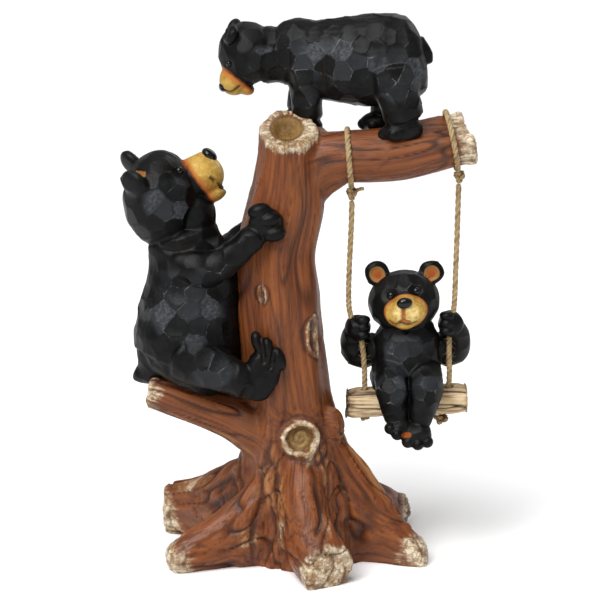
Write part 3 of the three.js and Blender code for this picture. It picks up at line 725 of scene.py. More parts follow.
def studio():
    camera_data = bpy.data.cameras.new("camera")
    camera_data.lens = CAMERA_LENS
    camera_data.sensor_width = CAMERA_SENSOR
    camera_data.clip_end = 100
    camera = bpy.data.objects.new("camera", camera_data)
    camera.location = Vector(CAMERA_AT) * MM
    camera.rotation_euler = (radians(90 - CAMERA_DOWN), 0, 0)
    bpy.context.scene.collection.objects.link(camera)
    bpy.context.scene.camera = camera
    bpy.context.scene.view_settings.view_transform = "Standard"

    world = bpy.data.worlds.new("studio")
    world.use_nodes = True
    background = world.node_tree.nodes["Background"]
    background.inputs["Color"].default_value = (1, 1, 1, 1)
    background.inputs["Strength"].default_value = WORLD_LIGHT
    bpy.context.scene.world = world

    sky = bpy.data.lights.new("soft_sun", "SUN")
    sky.energy = SUN_LIGHT
    sky.angle = radians(SUN_SPREAD)
    key = bpy.data.lights.new("key_light", "AREA")
    key.size = 0.5
    key.energy = KEY_LIGHT
    rim = bpy.data.lights.new("back_light", "AREA")
    rim.size = 1.2
    rim.energy = BACK_LIGHT
    for data, place in ((sky, (-0.45, -0.8, 1.6)), (key, (-0.7, -1.1, 1.2)), (rim, (0.7, 1.2, 1.4))):
        lamp = bpy.data.objects.new(data.name, data)
        lamp.location = place
        lamp.rotation_euler = (Vector((0, 0, 0.2)) - Vector(place)).to_track_quat("-Z", "Y").to_euler()
        bpy.context.scene.collection.objects.link(lamp)

    bm = bmesh.new()
    bmesh.ops.create_grid(bm, x_segments=1, y_segments=1, size=60)
    mesh = bpy.data.meshes.new("floor")
    bm.to_mesh(mesh)
    bm.free()
    mesh.materials.append(Paint("pale_floor", Base_Color=colour(0.95, 0.95, 0.95), Roughness=0.9).material)
    floor = bpy.data.objects.new("floor", mesh)
    bpy.context.scene.collection.objects.link(floor)


# Twines

def line_length(points, count=400):
    places = along(points, np.linspace(0, 1, count))
    return np.linalg.norm(np.diff(places, axis=0), axis=1).sum()


def rope(points, diameter, side, pitch=TWINE_PITCH, sides=9):
    """Three strands laid round each other along a line, as a mesh with the lay of their fibres and the painted shade
    between the strands.
    """
    length = line_length(points)
    strand = diameter * 0.275
    reach = diameter / 2 - strand
    rows = max(24, int(length / 0.95))
    t = np.linspace(0, 1, 4 * rows)
    tangent = heading(points, t)
    wide = unit(row(side) - (tangent @ row(side))[:, None] * tangent)
    high = np.cross(tangent, wide)
    middle = along(points, t)
    bm = bmesh.new()
    lay, shaded_gap = [], []
    for number in range(TWINE_STRANDS):
        turn = 2 * pi * (number / TWINE_STRANDS + t * length / pitch)
        outward = np.cos(turn)[:, None] * wide + np.sin(turn)[:, None] * high
        line = middle + reach * outward
        before = len(bm.verts)
        tip = 0.5 * strand / length
        limb(bm, line, [strand, strand], side, (tip, tip), sides=sides, rows=rows)
        bm.verts.ensure_lookup_table()
        places = row([v.co for v in bm.verts[before:]])
        tree = kdtree.KDTree(len(line))
        for index, point in enumerate(line):
            tree.insert(point, index)
        tree.balance()
        index = np.array([tree.find(p)[1] for p in places])
        share = t[index]
        offset = unit(places - line[index])
        out = (offset * outward[index]).sum(1)
        around = np.arctan2((offset * np.cross(outward[index], tangent[index])).sum(1), out)
        twist = around + 2 * pi * share * length / (0.6 * pitch)
        lay.append(np.stack([strand * np.cos(twist), strand * np.sin(twist), share * length + 50 * number], 1))
        # Painted shade on each strand's side that faces the others
        shaded_gap.append(smoothstep(0.35, -0.5, out))
    mesh = bpy.data.meshes.new("rope")
    bm.to_mesh(mesh)
    bm.free()
    skin = Skin(mesh)
    skin.store("lay", np.vstack(lay))
    skin.store("shaded_gap", np.concatenate(shaded_gap))
    return mesh


def joined(*meshes):
    """Several meshes as one, with their stored masks."""
    bm = bmesh.new()
    for mesh in meshes:
        bm.from_mesh(mesh)
        bpy.data.meshes.remove(mesh)
    mesh = bpy.data.meshes.new("joined")
    bm.to_mesh(mesh)
    bm.free()
    return mesh


def knot(at, reach, turn):
    """A three-lobed knot of thinner rope, filling a half width, depth and height."""
    t = np.linspace(0, 2 * pi, 40) + turn
    lobes = np.stack([(np.sin(t) + 2 * np.sin(2 * t)) / 3, -np.sin(3 * t), (np.cos(t) - 2 * np.cos(2 * t)) / 3], 1)
    points = lobes * (row(reach) - KNOT_ROPE / 2) + row(at)
    return rope(points, KNOT_ROPE, (0.2, 1, 0.3), pitch=8, sides=7)


def fuzz(lines, count, seed):
    """Loose fibres standing off the twine."""
    chance = np.random.default_rng(seed)
    bm = bmesh.new()
    for line in lines:
        for _ in range(count):
            start = along(line, np.array([chance.uniform(0.01, 0.99)]))[0]
            way = unit(chance.normal(size=3) * (1, 1, 0.9))
            away = chance.uniform(0.2, 0.42) * TWINE
            size = chance.uniform(1.6, 5.2)
            turn = Vector(way).to_track_quat("Z", "Y").to_matrix().to_4x4()
            middle = Vector(start + way * away) + Vector(way) * size / 2
            thin = chance.uniform(0.05, 0.1)
            bmesh.ops.create_cone(bm, cap_ends=True, segments=3, radius1=thin, radius2=thin / 3, depth=size,
                                  matrix=Matrix.Translation(middle) @ turn)
    mesh = bpy.data.meshes.new("fuzz")
    bm.to_mesh(mesh)
    bm.free()
    return mesh


def loop_line(name):
    """The twine's way round the branch, from one side of its knot to the other."""
    t = np.array([LOOP_AT[name]])
    centre = along(BRANCH["line"], t)[0] - (0, 0, LOOP_SINK)
    axis = heading(BRANCH["line"], t)[0]
    radius = stations(BRANCH["radii"], t)[0] + TWINE / 2 - LOOP_SINK
    down = unit(row((0, 0, -1)) - row((0, 0, -1)) @ axis * axis)
    across = np.cross(axis, down)
    angle = np.linspace(LOOP_GAP, 2 * pi - LOOP_GAP, LOOP_POINTS)
    return centre + radius * (np.cos(angle)[:, None] * down + np.sin(angle)[:, None] * across), axis


def twines():
    jute = jute_paint()
    fibre = fibre_paint()
    for seed, name in enumerate(("left", "right")):
        line = [(x, 0, z) for x, z in RUNS[name]]
        run = finish_piece(f"{name}_twine", rope(line, TWINE, (0, 1, 0)), jute, "swing",
                           [f"twine_run_{name}"])
        top = knot(KNOTS[name], KNOT_REACH, seed)
        if name == "left":
            top = joined(top, rope(LEFT_TAIL, 2.8, (0, 1, 0.3), pitch=8))
        top = finish_piece(f"{name}_twine_knot", top, jute, "swing", [f"twine_knot_{name}"])
        end = row(line[-1]) + (0, 0, STOP_RISE[name] - STOPS[name][2])
        stop = finish_piece(f"{name}_twine_stop_knot", knot(end, STOPS[name], seed + 2), jute, "swing",
                            [f"twine_stop_{name}"])
        knot_stretch = [row(KNOTS[name]) + (0, 0, 4), row(KNOTS[name]), row(line[0])]
        loose = joined(fuzz([line], 520, seed), fuzz([knot_stretch], 60, seed + 7))
        hairs = finish_piece(f"{name}_twine_fuzz", loose, fibre, "swing", [])
        way, axis = loop_line(name)
        finish_piece(f"{name}_twine_loop", rope(way, TWINE, axis), jute, "tree", [f"twine_loop_{name}"])
        path = along(line, np.linspace(0, 1, 8 * len(line))) * MM


# Tree

def root_limb(part):
    """The line, radii and widths of a root whose underside runs along the floor."""
    ridge = row(part["ridge"])
    line = ridge.copy()
    line[:, 2] = (ridge[:, 2] - ROOT_BELOW) / 2
    first, last = ridge[0], ridge[-1]
    side = (last[1] - first[1], first[0] - last[0], 0)
    return dict(line=line, radii=(ridge[:, 2] + ROOT_BELOW) / 2, side=side, widths=row(part["widths"]))


def flow(points, part):
    """Where points lie on a limb: round it and along it in mm, how far outside its skin, and the share along."""
    t = np.linspace(0, 1, 60)
    line = along(part["line"], t)
    index = ((points[:, None, :] - line[None, :, :]) ** 2).sum(2).argmin(1)
    share = t[index]
    tangent = heading(part["line"], share)
    away = points - line[index]
    step = (away * tangent).sum(1)
    side = row(part.get("side", (0, 1, 0)))
    wide = unit(side - (tangent @ side)[:, None] * tangent)
    high = np.cross(wide, tangent)
    high_radius = stations(part["radii"], share)
    wide_radius = stations(part.get("widths", part["radii"]), share)
    a = (away * wide).sum(1) / wide_radius
    b = (away * high).sum(1) / high_radius
    out = np.maximum(np.hypot(a, b), 0.1)
    steady = np.mean(part["radii"])
    down_limb = share * line_length(part["line"]) + step
    place = np.stack([a / out * steady, b / out * steady, down_limb], 1)
    past = np.maximum(np.abs(step) - 4, 0)
    return place, (out - 1) * np.minimum(wide_radius, high_radius) + past, share


def flutes(t, angle):
    ripple = 1 + TRUNK_FLUTE_DEPTH * np.cos(TRUNK_FLUTES * (angle + TRUNK_TWIST * t))
    return ripple, ripple


def stump_plane():
    lean = radians(STUMP_LEAN)
    return row(STUMP_FACE), row((0, -sin(lean), cos(lean)))


def tree_skin():
    whole = bmesh.new()
    at, normal = stump_plane()
    trunk = bmesh.new()
    limb(trunk, TRUNK["line"], TRUNK["radii"], tips=(0, 0), shape=flutes, sides=72, rows=90)
    cut(trunk, at, normal)
    take(whole, trunk)
    branch = bmesh.new()
    limb(branch, BRANCH["line"], BRANCH["radii"], tips=(0.1, 0), sides=48, rows=60)
    cut(branch, BRANCH_END, BRANCH_END_NORMAL)
    cut(branch, at, normal)
    take(whole, branch)
    perch = bmesh.new()
    limb(perch, PERCH["line"], PERCH["radii"], tips=(0, 0), sides=48, rows=60)
    cut(perch, PERCH_END, PERCH_END_NORMAL)
    take(whole, perch)
    ball(whole, **CROTCH)
    ball(whole, **BURL)
    for part in (ARMPIT, PERCH_WEB):
        limb(whole, part["line"], part["radii"])
    for part in [*ROOTS.values(), *BUTTRESSES.values()]:
        root = root_limb(part)
        limb(whole, root["line"], root["radii"], root["side"], (0, 0.07), upright=True,
             shape=lambda t, angle, root=root: (stations(root["widths"], t) / stations(root["radii"], t), 1))
    return Skin(fused(whole, TREE_VOXEL, 4))


class Carving:
    """The depth of the tree's carving and its paint masks, worked on together."""

    def __init__(self, count):
        for name in ("height", "recess_shade", "cream", "hollow", "high"):
            setattr(self, name, np.zeros(count))

    def raise_by(self, amount):
        self.height = self.height + amount

    # Adds painted shade where the bark is sunk
    def add_painted_shade(self, share):
        self.recess_shade = np.maximum(self.recess_shade, share)

    def whiten(self, share):
        self.cream = np.maximum(self.cream, share)


def ground_flow(points):
    """Where points lie on the streams of grain that run down the trunk and out along the roots."""
    away = points - row(FOOT_AXIS)
    reach = np.maximum(np.hypot(away[:, 0], away[:, 1]), 1)
    crest = FOOT_LOW + FOOT_RISE * np.exp(-(reach - FOOT_RADIUS) / FOOT_SPREAD)
    lift = np.clip(points[:, 2] / crest, 0, 1.5)
    around = FOOT_RADIUS * away[:, :2] / reach[:, None]
    return np.column_stack([around, FOOT_STRETCH * lift])


def grooves(place, scale, seed):
    """Relief of long ridges and grooves on a flow, its dug lines and its crests."""
    wide, length = scale
    sway = rough(place / (4 * wide, 4 * wide, length), 1, seed + 40, 2)[:, None] * (0.9 * wide, 0.9 * wide, 0)
    broad = noise((place + sway) / (1.7 * wide, 1.7 * wide, 1.7 * length), seed)
    coarse = noise((place + sway) / (wide, wide, length), seed + 1)
    middle = noise((place + 0.6 * sway) / (0.5 * wide, 0.5 * wide, 0.6 * length), seed + 2)
    fine = noise(place / (0.2 * wide, 0.2 * wide, 0.25 * length), seed + 3)
    groove = (1 - smoothstep(0, 0.08, np.abs(coarse - 0.5))) * smoothstep(0.3, 0.5, broad)
    shaded_crack = 0.45 * (1 - smoothstep(0, 0.06, np.abs(middle - 0.5)))
    dug = np.maximum(groove, shaded_crack)
    relief = 2.2 * (broad - 0.55) + 1.0 * (coarse - 0.5) - 1.2 * dug + 0.3 * (fine - 0.5) - 0.15
    return np.stack([relief, dug, smoothstep(0.5, 0.8, broad)])


# Each limb's groove depth, painted shade in its grooves, and groove spacing and length
GRAINS = ((TRUNK, 0.65, 0.7, (7.5, 90)), (BRANCH, 0.75, 1, (8, 80)), (PERCH, 0.85, 1, (8, 80)))


def carve_grain(skin, work):
    """Long grooves and ridges that follow the trunk and limbs, with painted shade in the grooves and in the creases
    where roots meet.
    """
    points = skin.points
    low = smoothstep(122, 84, points[:, 2])
    total = np.zeros((4, len(points)))
    flows = []
    for number, (part, depth, painted_shade, scale) in enumerate(GRAINS):
        place, outside, share = flow(points, part)
        weight = np.exp(-np.clip(outside, 0, 60) / 3.5) * (1 - low if part is TRUNK else 1)
        total += weight * np.vstack([grooves(place, scale, 7 * number) * [[depth], [painted_shade], [1]], np.ones(len(points))])
        flows.append((place + (0, 0, 300 * number), weight))
    foot = ground_flow(points)
    foot_weight = low * (1 - 0.9 * np.clip(flows[2][1], 0, 1) * smoothstep(62, 86, points[:, 2]))
    total += foot_weight * np.vstack([grooves(foot, (5.2, 80), 70) * [[1.7], [1], [1]], np.ones(len(points))])
    total = total[:3] / np.maximum(total[3], 1e-6)
    work.raise_by(total[0])
    # Painted shade in the grain's grooves
    work.add_painted_shade(np.clip(total[1], 0, 1))
    work.high = total[2] * (0.5 + 0.5 * low)

    roots = [root_limb(part) for part in (*ROOTS.values(), *BUTTRESSES.values())]
    nearest = np.full(len(points), np.inf)
    second = np.full(len(points), np.inf)
    ground = smoothstep(96, 76, points[:, 2])
    for number, root in enumerate(roots):
        _, outside, share = flow(points, root)
        second = np.minimum(second, np.maximum(nearest, outside))
        nearest = np.minimum(nearest, outside)
        if number < len(ROOTS):
            by_root = np.exp(-np.clip(outside, 0, 60) / 3.5)
            tip = smoothstep(0.6, 1.0, share + 0.12 * rough(points, 16, 95)) * by_root
            work.whiten(0.95 * tip)
            work.raise_by(1.5 * smoothstep(0.8, 1, share) * by_root * rough(points, 9, 94))
            crevice = smoothstep(0.13, 0.03, np.abs(rough(points, 15, 84, 2))) * smoothstep(0.3, 0.7, tip)
            # Painted shade in the crevices near the root tips
            work.add_painted_shade(0.75 * crevice)
            work.raise_by(-0.9 * crevice)
    seam = smoothstep(2.6, 0.2, second - nearest) * ground * smoothstep(0.3, 0.55, noise(points / 22, 5))
    # Painted shade in the creases where the roots meet
    work.add_painted_shade(0.85 * seam)
    work.raise_by(-1.6 * seam)
    work.raise_by(ground * 1.2 * rough(points, 20, 89))
    work.whiten(0.6 * ground * work.high * smoothstep(0.55, 0.75, noise(points / (20, 20, 30), 6)))
    trunk_place, trunk_weight = flows[0]
    limb_share = np.clip(np.maximum(flows[1][1], flows[2][1]), 0, 1)
    skin.store("flow_trunk", trunk_place * (1 - low[:, None]) + foot * low[:, None])
    skin.store("flow_limb", np.where((flows[1][1] > flows[2][1])[:, None], flows[1][0], flows[2][0]))
    skin.store("side_share", limb_share / np.maximum(limb_share + trunk_weight + foot_weight, 1e-6))


def carve_stump(skin, work):
    """The bowl in the stump's slanting top, and its rough pale rim."""
    points = skin.points
    at, normal = stump_plane()
    below = -((points - at) @ normal)
    from_axis = np.hypot(points[:, 0] + 8, points[:, 1] + 6)
    on_stump = (points[:, 2] > 285) & (from_axis < 27) & (points[:, 0] < 13)
    up_face = unit(np.cross(normal, (1, 0, 0)))
    away = points - row(STUMP_BOWL_AT)
    bowl = np.hypot(away[:, 0] / STUMP_BOWL[0], (away @ up_face) / STUMP_BOWL[1])
    on_face = on_stump & (below < 2)
    sunk = np.where(on_face, 1 - smoothstep(0.4, 1.0, bowl), 0)
    work.height = np.where(on_face, 0.25 * work.height, work.height) - STUMP_BOWL_DEPTH * sunk
    inside = np.where(on_face, smoothstep(1.25, 0.95, bowl + 0.1 * rough(points, 8, 90)), 0)
    work.recess_shade = work.recess_shade * (1 - inside)
    work.hollow = np.maximum(work.hollow, inside)
    ragged = below + 4 * rough(points * (1, 1, 0.4), 6, 96)
    rim = np.where(on_stump, 1 - smoothstep(-1, 6, ragged), 0) * (1 - inside)
    work.whiten(0.95 * rim)
    work.raise_by(rim * (0.4 + 0.9 * rough(points, 7, 91)))
    # A ring of painted shade round the bowl's lip
    lip = np.where(on_face, np.exp(-((bowl - 1.02) / 0.07) ** 2), 0)
    work.add_painted_shade(0.6 * lip)


def carve_cut_ends(skin, work):
    """The flared pale end of the branch and the broken end of the perch."""
    points = skin.points
    end_at = row(BRANCH_END)
    to_end = -((points - end_at) @ unit(BRANCH_END_NORMAL))
    on_branch = (np.linalg.norm(points - end_at, axis=1) < 42) & (points[:, 0] > 80) & (points[:, 2] > 280)
    off_middle = np.linalg.norm(points - end_at + to_end[:, None] * unit(BRANCH_END_NORMAL), axis=1)
    end = np.where(on_branch, 1 - smoothstep(3, 17, to_end + 4 * rough(points, 8, 97)), 0)
    flare = np.where(on_branch, 1 - smoothstep(0, 9, to_end), 0)
    work.whiten(1.1 * end)
    work.raise_by(flare * (1.6 + 1.2 * rough(points, 5, 92)))
    dish = np.where(on_branch & (to_end < 1.5), smoothstep(16, 6, off_middle), 0)
    work.raise_by(-2.5 * dish)
    # Painted shade in the sunk dish of the branch end
    work.add_painted_shade(0.5 * dish)
    to_perch_end = -((points - row(PERCH_END)) @ unit(PERCH_END_NORMAL))
    on_perch = np.linalg.norm(points - row(PERCH_END), axis=1) < 34
    work.whiten(np.where(on_perch, 0.72 * (1 - smoothstep(1, 20, to_perch_end + 8 * rough(points, 9, 98))), 0))
    work.raise_by(np.where(on_perch, 1 - smoothstep(1, 8, to_perch_end), 0) * 0.9 * rough(points, 4, 93))


def carve_knots(skin, work):
    """The ringed knot on the trunk's front with a curl in its hollow, and two eye-shaped scars above it."""
    points = skin.points
    front = np.where(skin.normals[:, 1] < 0.1, 1, 0) * (points[:, 1] < -8)
    spot = points - row(BIG_KNOT)
    reach = np.hypot(spot[:, 0], spot[:, 2])
    around = np.arctan2(spot[:, 2], spot[:, 0])
    pull = np.exp(-((around + 1.05) / 0.35) ** 2)
    ring_radius = BIG_KNOT_RADIUS * (1 + 0.06 * np.sin(2 * around + 0.7) + 0.22 * pull) + 1.2 * rough(points, 9, 87)
    ring = np.exp(-((reach - ring_radius) / (2.2 + 0.9 * rough(points, 11, 86))) ** 2) * front
    within = smoothstep(ring_radius - 1.2, ring_radius - 4.2, reach) * front
    curl = np.sin(around + 2 * pi * reach / 4.4 + 0.6)
    calm = np.clip(ring + within, 0, 1)
    work.height = work.height * (1 - calm) + 2.8 * ring - 3.4 * within + 0.8 * curl * within
    # The curl's troughs inside the knot get painted shade
    work.recess_shade = work.recess_shade * (1 - calm) + 0.7 * within * smoothstep(0.1, 0.95, -curl)
    slope = np.exp(-((reach - ring_radius + 3.2) / 1.3) ** 2) * front
    # Painted shade on the ring's inner slope and in the moat round it
    work.add_painted_shade(0.55 * slope)
    moat = np.exp(-((reach - ring_radius - 5) / 1.8) ** 2) * front
    work.add_painted_shade(0.7 * moat)
    work.raise_by(-0.9 * moat)
    work.hollow = np.maximum(work.hollow, within)
    tail, _ = skin.near(BIG_KNOT_TAIL, seen=(1, 0, 1))
    work.whiten(np.maximum(1.0 * ring, 0.6 * np.exp(-(tail / 3) ** 2) * front * (1 - within)))
    for scar, size in ((SMALL_KNOT, 1.3), (SCAR, 1.6)):
        far, where = skin.near(scar, seen=(1, 0, 1))
        slim = np.sqrt(np.clip(1 - (2 * where - 1) ** 2, 0.06, 1)) * size
        far = far / slim + 0.9 * rough(points, 5, 99)
        heart = smoothstep(3.4, 2.4, far) * front
        slit = smoothstep(1.7, 0.7, far + 1.3 * rough(points, 5, 88)) * front
        outline = np.exp(-((far - 3.9) / 0.9) ** 2) * front
        work.raise_by(0.9 * heart - 1.7 * slit - 0.8 * outline)
        work.recess_shade = work.recess_shade * (1 - heart)
        # Painted shade in the scars' slits and outlines
        work.add_painted_shade(np.maximum(slit, 0.95 * outline))
        work.whiten(0.5 * heart)


def tree():
    skin = tree_skin()
    work = Carving(len(skin.points))
    carve_grain(skin, work)
    carve_stump(skin, work)
    carve_cut_ends(skin, work)
    carve_knots(skin, work)
    by_seat = smoothstep(24, 12, np.linalg.norm(skin.points - row((28, -16, 104)), axis=1))
    height = np.where(work.height > 0, work.height * (1 - 0.85 * by_seat), work.height)
    skin.push(np.clip(height, -6.5, 3.4))
    for name in ("recess_shade", "cream", "hollow", "high"):
        skin.store(name, np.clip(getattr(work, name), 0, 1.2))
    skin.stand()
    finish_piece("tree", skin.mesh, bark_paint(), "tree", ["tree_with_bears"])


# Bears

def facets(skin, spacing, flatness, seed):
    """Chisel facets over a coat: how deep each point goes, how far it is from a ridge, and how much painted sheen its
    facet gets.
    """
    points = skin.points
    chance = np.random.default_rng(seed)
    kept = []
    near = kdtree.KDTree(len(points))
    for index, point in enumerate(points):
        near.insert(point, index)
    near.balance()
    free = np.ones(len(points), bool)
    for index in chance.permutation(len(points)):
        if free[index]:
            kept.append(index)
            for _, other, _ in near.find_range(points[index], spacing):
                free[other] = False
    seeds = kdtree.KDTree(len(kept))
    for number, index in enumerate(kept):
        seeds.insert(points[index], number)
    seeds.balance()
    found = [seeds.find_n(p, 2) for p in points]
    first = np.array([f[0][2] for f in found])
    second = np.array([f[1][2] for f in found])
    owner = np.array([f[0][1] for f in found])
    facet_sheen = chance.random(len(kept))[owner]
    lean = unit(chance.normal(size=(len(kept), 3)))[owner]
    hollow = (first ** 2 - (0.55 * spacing) ** 2) / (2 * flatness)
    tilt = 0.09 * ((points - points[kept][owner]) * lean).sum(1)
    return np.minimum(hollow + tilt, 0.35), second - first, facet_sheen


def around_places(points, places, size):
    """1 at places, falling to 0 at about 1.2 sizes away."""
    nearest = np.full(len(points), np.inf)
    for place in places:
        nearest = np.minimum(nearest, np.linalg.norm(points - row(place), axis=1))
    return smoothstep(1.2 * size, 0.8 * size, nearest)


def faceted_areas(points, areas):
    """1 in the areas, given by X, Z and size, where the chisel marks are bold."""
    share = np.zeros(len(points))
    for x, z, size in areas:
        reach = np.hypot(points[:, 0] - x, points[:, 2] - z)
        share = np.maximum(share, smoothstep(1.15 * size, 0.7 * size, reach))
    return share


def ear_cups(points, cups):
    """How deep the cups in the ears are, and the paint mask inside them."""
    depth = np.zeros(len(points))
    mask = np.full(len(points), -1.0)
    for at, normal, size in cups:
        away = points - row(at)
        height = away @ row(normal)
        disc = np.linalg.norm(away - height[:, None] * row(normal), axis=1)
        there = (height > 0.15 * size) & (height < 1.1 * size)
        depth += np.where(there, 0.34 * size * smoothstep(size, 0.55 * size, disc), 0)
        mask = np.maximum(mask, np.where(there, 0.5 * (size - disc), -1))
    return depth, mask


def surface_place(skin, x, z, facing, mid):
    """The point of a skin that shows at X and Z from the front, facing -1, or from behind, facing 1."""
    away = np.hypot(skin.points[:, 0] - x, skin.points[:, 2] - z)
    away = away + np.where((skin.points[:, 1] - mid) * facing > 0, 0, 1000)
    near = np.flatnonzero(away < away.min() + 0.8)
    return skin.points[near[np.argmax(skin.points[near, 1] * facing)]]


def bear(name, skin, look, paints, body, nodes):
    """Carves one bear's coat and face, stores its paint masks and places it with its nose and eyes."""
    points = skin.points
    muzzle = look["muzzle"](skin)
    depth, edge, facet_sheen = facets(skin, *look["facets"])
    bold = faceted_areas(points, look["faceted"])
    cup, ear = ear_cups(points, look["ears"])
    plain = np.clip(smoothstep(-2, 2, muzzle) + 0.8 * around_places(points, look["small"], look["small_size"])
                    + smoothstep(0, 0.4, cup), 0, 1)
    amount = depth * (0.8 + 0.3 * bold) * (1 - plain) - cup
    crease_shade = np.zeros(len(points))
    rust = np.zeros(len(points))
    # Each mark carves a groove; its shade share paints shade into the groove, and its rust share is rust-red paint
    for mark in look["marks"]:
        far, where = skin.near(mark["line"], 24, seen=(1, 0, 1))
        fade = smoothstep(0, 0.25, where) * smoothstep(1, 0.75, where) if mark.get("fading") else 1
        for facing in look["sides"]:
            there = (points[:, 1] - look["mid"]) * facing > 0
            dip = np.where(there, np.exp(-(far / mark["width"]) ** 2), 0) * fade
            amount = amount - mark["depth"] * dip
            crease_shade = np.maximum(crease_shade, mark.get("painted_shade", 0) * dip)
            rust = np.maximum(rust, mark.get("rust", 0) * smoothstep(0.15, 0.6, dip))
    skin.push(amount)
    skin.store("edge", edge + 6 * plain + 3 * (1 - bold))
    # Painted sheen on the facets of the bold areas, kept off the muzzle, fingers, toes and ear cups
    skin.store("facet_sheen", facet_sheen * bold * (1 - plain))
    skin.store("muzzle", muzzle)
    skin.store("ear", ear if look["painted_ears"] else np.full(len(points), -1.0))
    skin.store("crease_shade", crease_shade)
    skin.store("rust", rust)
    shine = bmesh.new()
    ball(shine, **look["nose"])
    for x, z in look["eyes"]:
        for facing in look["sides"]:
            at = surface_place(skin, x, z, facing, look["mid"])
            ball(shine, at - (0, 0.25 * facing * look["eye_size"], 0), [look["eye_size"]] * 3)
    gloss_mesh = bpy.data.meshes.new("gloss")
    shine.to_mesh(gloss_mesh)
    shine.free()
    fur, gloss = paints
    finish_piece(name, skin.mesh, fur, body, nodes)
    finish_piece(f"{name}_eyes_and_nose", gloss_mesh, gloss, body, [])


def flat_line(*places):
    """A line over a face, given by X and Z."""
    return [(x, 0, z) for x, z in places]


def climber(paints):
    bm = bmesh.new()
    torso(bm, CLIMBER_TORSO)
    for part in (CLIMBER_TAIL, CLIMBER_BRIDGE):
        limb(bm, part["line"], part["radii"])
    for part in (CLIMBER_BELLY, CLIMBER_SKULL, CLIMBER_THROAT, CLIMBER_MUZZLE, CLIMBER_JAW, *CLIMBER_EARS):
        ball(bm, **part)
    for part in (CLIMBER_ARM, CLIMBER_LEG):
        for half in (part, far_side(part)):
            limb(bm, half["line"], half["radii"])
    for part in (CLIMBER_PAW, CLIMBER_FOOT, CLIMBER_HEEL):
        for half in (part, far_side(part)):
            ball(bm, **half)
    for places, form in ((CLIMBER_FINGERS, CLIMBER_FINGER), (CLIMBER_TOES, CLIMBER_TOE)):
        for at in places:
            for half in (dict(at=at), far_side(dict(at=at))):
                ball(bm, half["at"], **form)

    def muzzle(skin):
        into = (skin.points - row((-72, 0, 281))) @ row((0.82, 0, 0.58))
        on_muzzle = np.minimum(skin.inside(**CLIMBER_MUZZLE), skin.inside(**CLIMBER_JAW))
        return np.where(on_muzzle < 1.35, 0.8 * into + 1.2, -9) - 12 * np.clip(on_muzzle - 1.2, 0, 1)

    look = dict(
        muzzle=muzzle,
        painted_ears=True,
        facets=(11, 30, 11),
        faceted=CLIMBER_FACETED,
        ears=[(e["at"], turned(e["turn"]).to_3x3() @ Vector((1, 0, 0)), CLIMBER_EAR_CUP) for e in CLIMBER_EARS],
        small=[*CLIMBER_FINGERS, *CLIMBER_TOES],
        small_size=9,
        marks=[
            dict(line=flat_line((-62.5, 282.5), (-60.4, 280.6)), width=1.2, depth=2, painted_shade=0.85),
            dict(line=flat_line((-60, 280), (-55.5, 276)), width=1, depth=1.4, painted_shade=0.35),
            dict(line=flat_line((-55.5, 276), (-50, 272.5)), width=1.5, depth=2.4, painted_shade=0.9),
            dict(line=flat_line((-69, 279), (-64, 274.5)), width=3, depth=0, rust=0.3),
            dict(line=flat_line(CLIMBER_SOCKET, CLIMBER_SOCKET), width=6.2, depth=3.2, painted_shade=0.3),
            dict(line=flat_line((-108, 238), (-95, 232.5), (-81, 233), (-70, 239)), width=2, depth=1.3, painted_shade=0.6,
                 fading=True),
            *(dict(line=flat_line(*shaded_gap), width=1.5, depth=1.8, painted_shade=0.75) for shaded_gap in CLIMBER_TOE_GAPS),
        ],
        nose=CLIMBER_NOSE,
        eyes=[CLIMBER_EYE],
        eye_size=3.1,
        sides=(-1, 1),
        mid=CLIMBER_MID,
    )
    bear("climbing_bear", Skin(fused(bm, CLIMBER_VOXEL, 4)), look, paints, "tree",
         ["tree_with_bears"])


def stander(paints):
    bm = bmesh.new()
    torso(bm, STANDER_TORSO)
    limb(bm, STANDER_TAIL["line"], STANDER_TAIL["radii"])
    for part in (STANDER_SKULL, STANDER_MUZZLE, STANDER_CHIN, STANDER_HEEL, *STANDER_EARS):
        ball(bm, **part)
    toes = []
    for leg in STANDER_LEGS:
        limb(bm, leg["line"], leg["radii"])
        ball(bm, leg["foot"], STANDER_FOOT)
        for step in (-STANDER_TOE_STEP, 0, STANDER_TOE_STEP):
            x, y, z = leg["foot"]
            ahead = (STANDER_FOOT[0] + STANDER_TOE_STEP) / 2
            toes.append((x - ahead + abs(step), y + step, z - STANDER_TOE_DROP))
            ball(bm, toes[-1], STANDER_TOE)

    def muzzle(skin):
        into = (skin.points - row((-44, 0, 349.3))) @ row((-0.607, 0, -0.795))
        on_muzzle = np.minimum(skin.inside(**STANDER_MUZZLE), skin.inside(**STANDER_CHIN))
        return np.where(on_muzzle < 1.35, 0.8 * into + 1.2, -9) - 12 * np.clip(on_muzzle - 1.2, 0, 1)

    look = dict(
        muzzle=muzzle,
        painted_ears=False,
        facets=(10, 28, 12),
        faceted=STANDER_FACETED,
        ears=[(e["at"], turned(e["turn"]).to_3x3() @ Vector((-1, 0, 0)), 4.6) for e in STANDER_EARS],
        small=toes,
        small_size=7,
        marks=[
            dict(line=flat_line((-55, 342.5), (-49, 341.5), (-43, 345.5)), width=0.9, depth=1.2, painted_shade=0.8),
            dict(line=flat_line(STANDER_EYE, STANDER_EYE), width=3.6, depth=1.6, painted_shade=0.3),
            dict(line=flat_line((-9, 376), (-8, 360), (-6, 342)), width=2, depth=1.6, painted_shade=0.7, fading=True),
            dict(line=flat_line((16, 372), (17, 356), (18, 338)), width=2, depth=1.4, painted_shade=0.7, fading=True),
        ],
        nose=STANDER_NOSE,
        eyes=[STANDER_EYE],
        eye_size=2.3,
        sides=(-1, 1),
        mid=STANDER_HEAD_MID,
    )
    bear("standing_bear", Skin(fused(bm, STANDER_VOXEL, 4)), look, paints, "tree",
         ["tree_with_bears"])


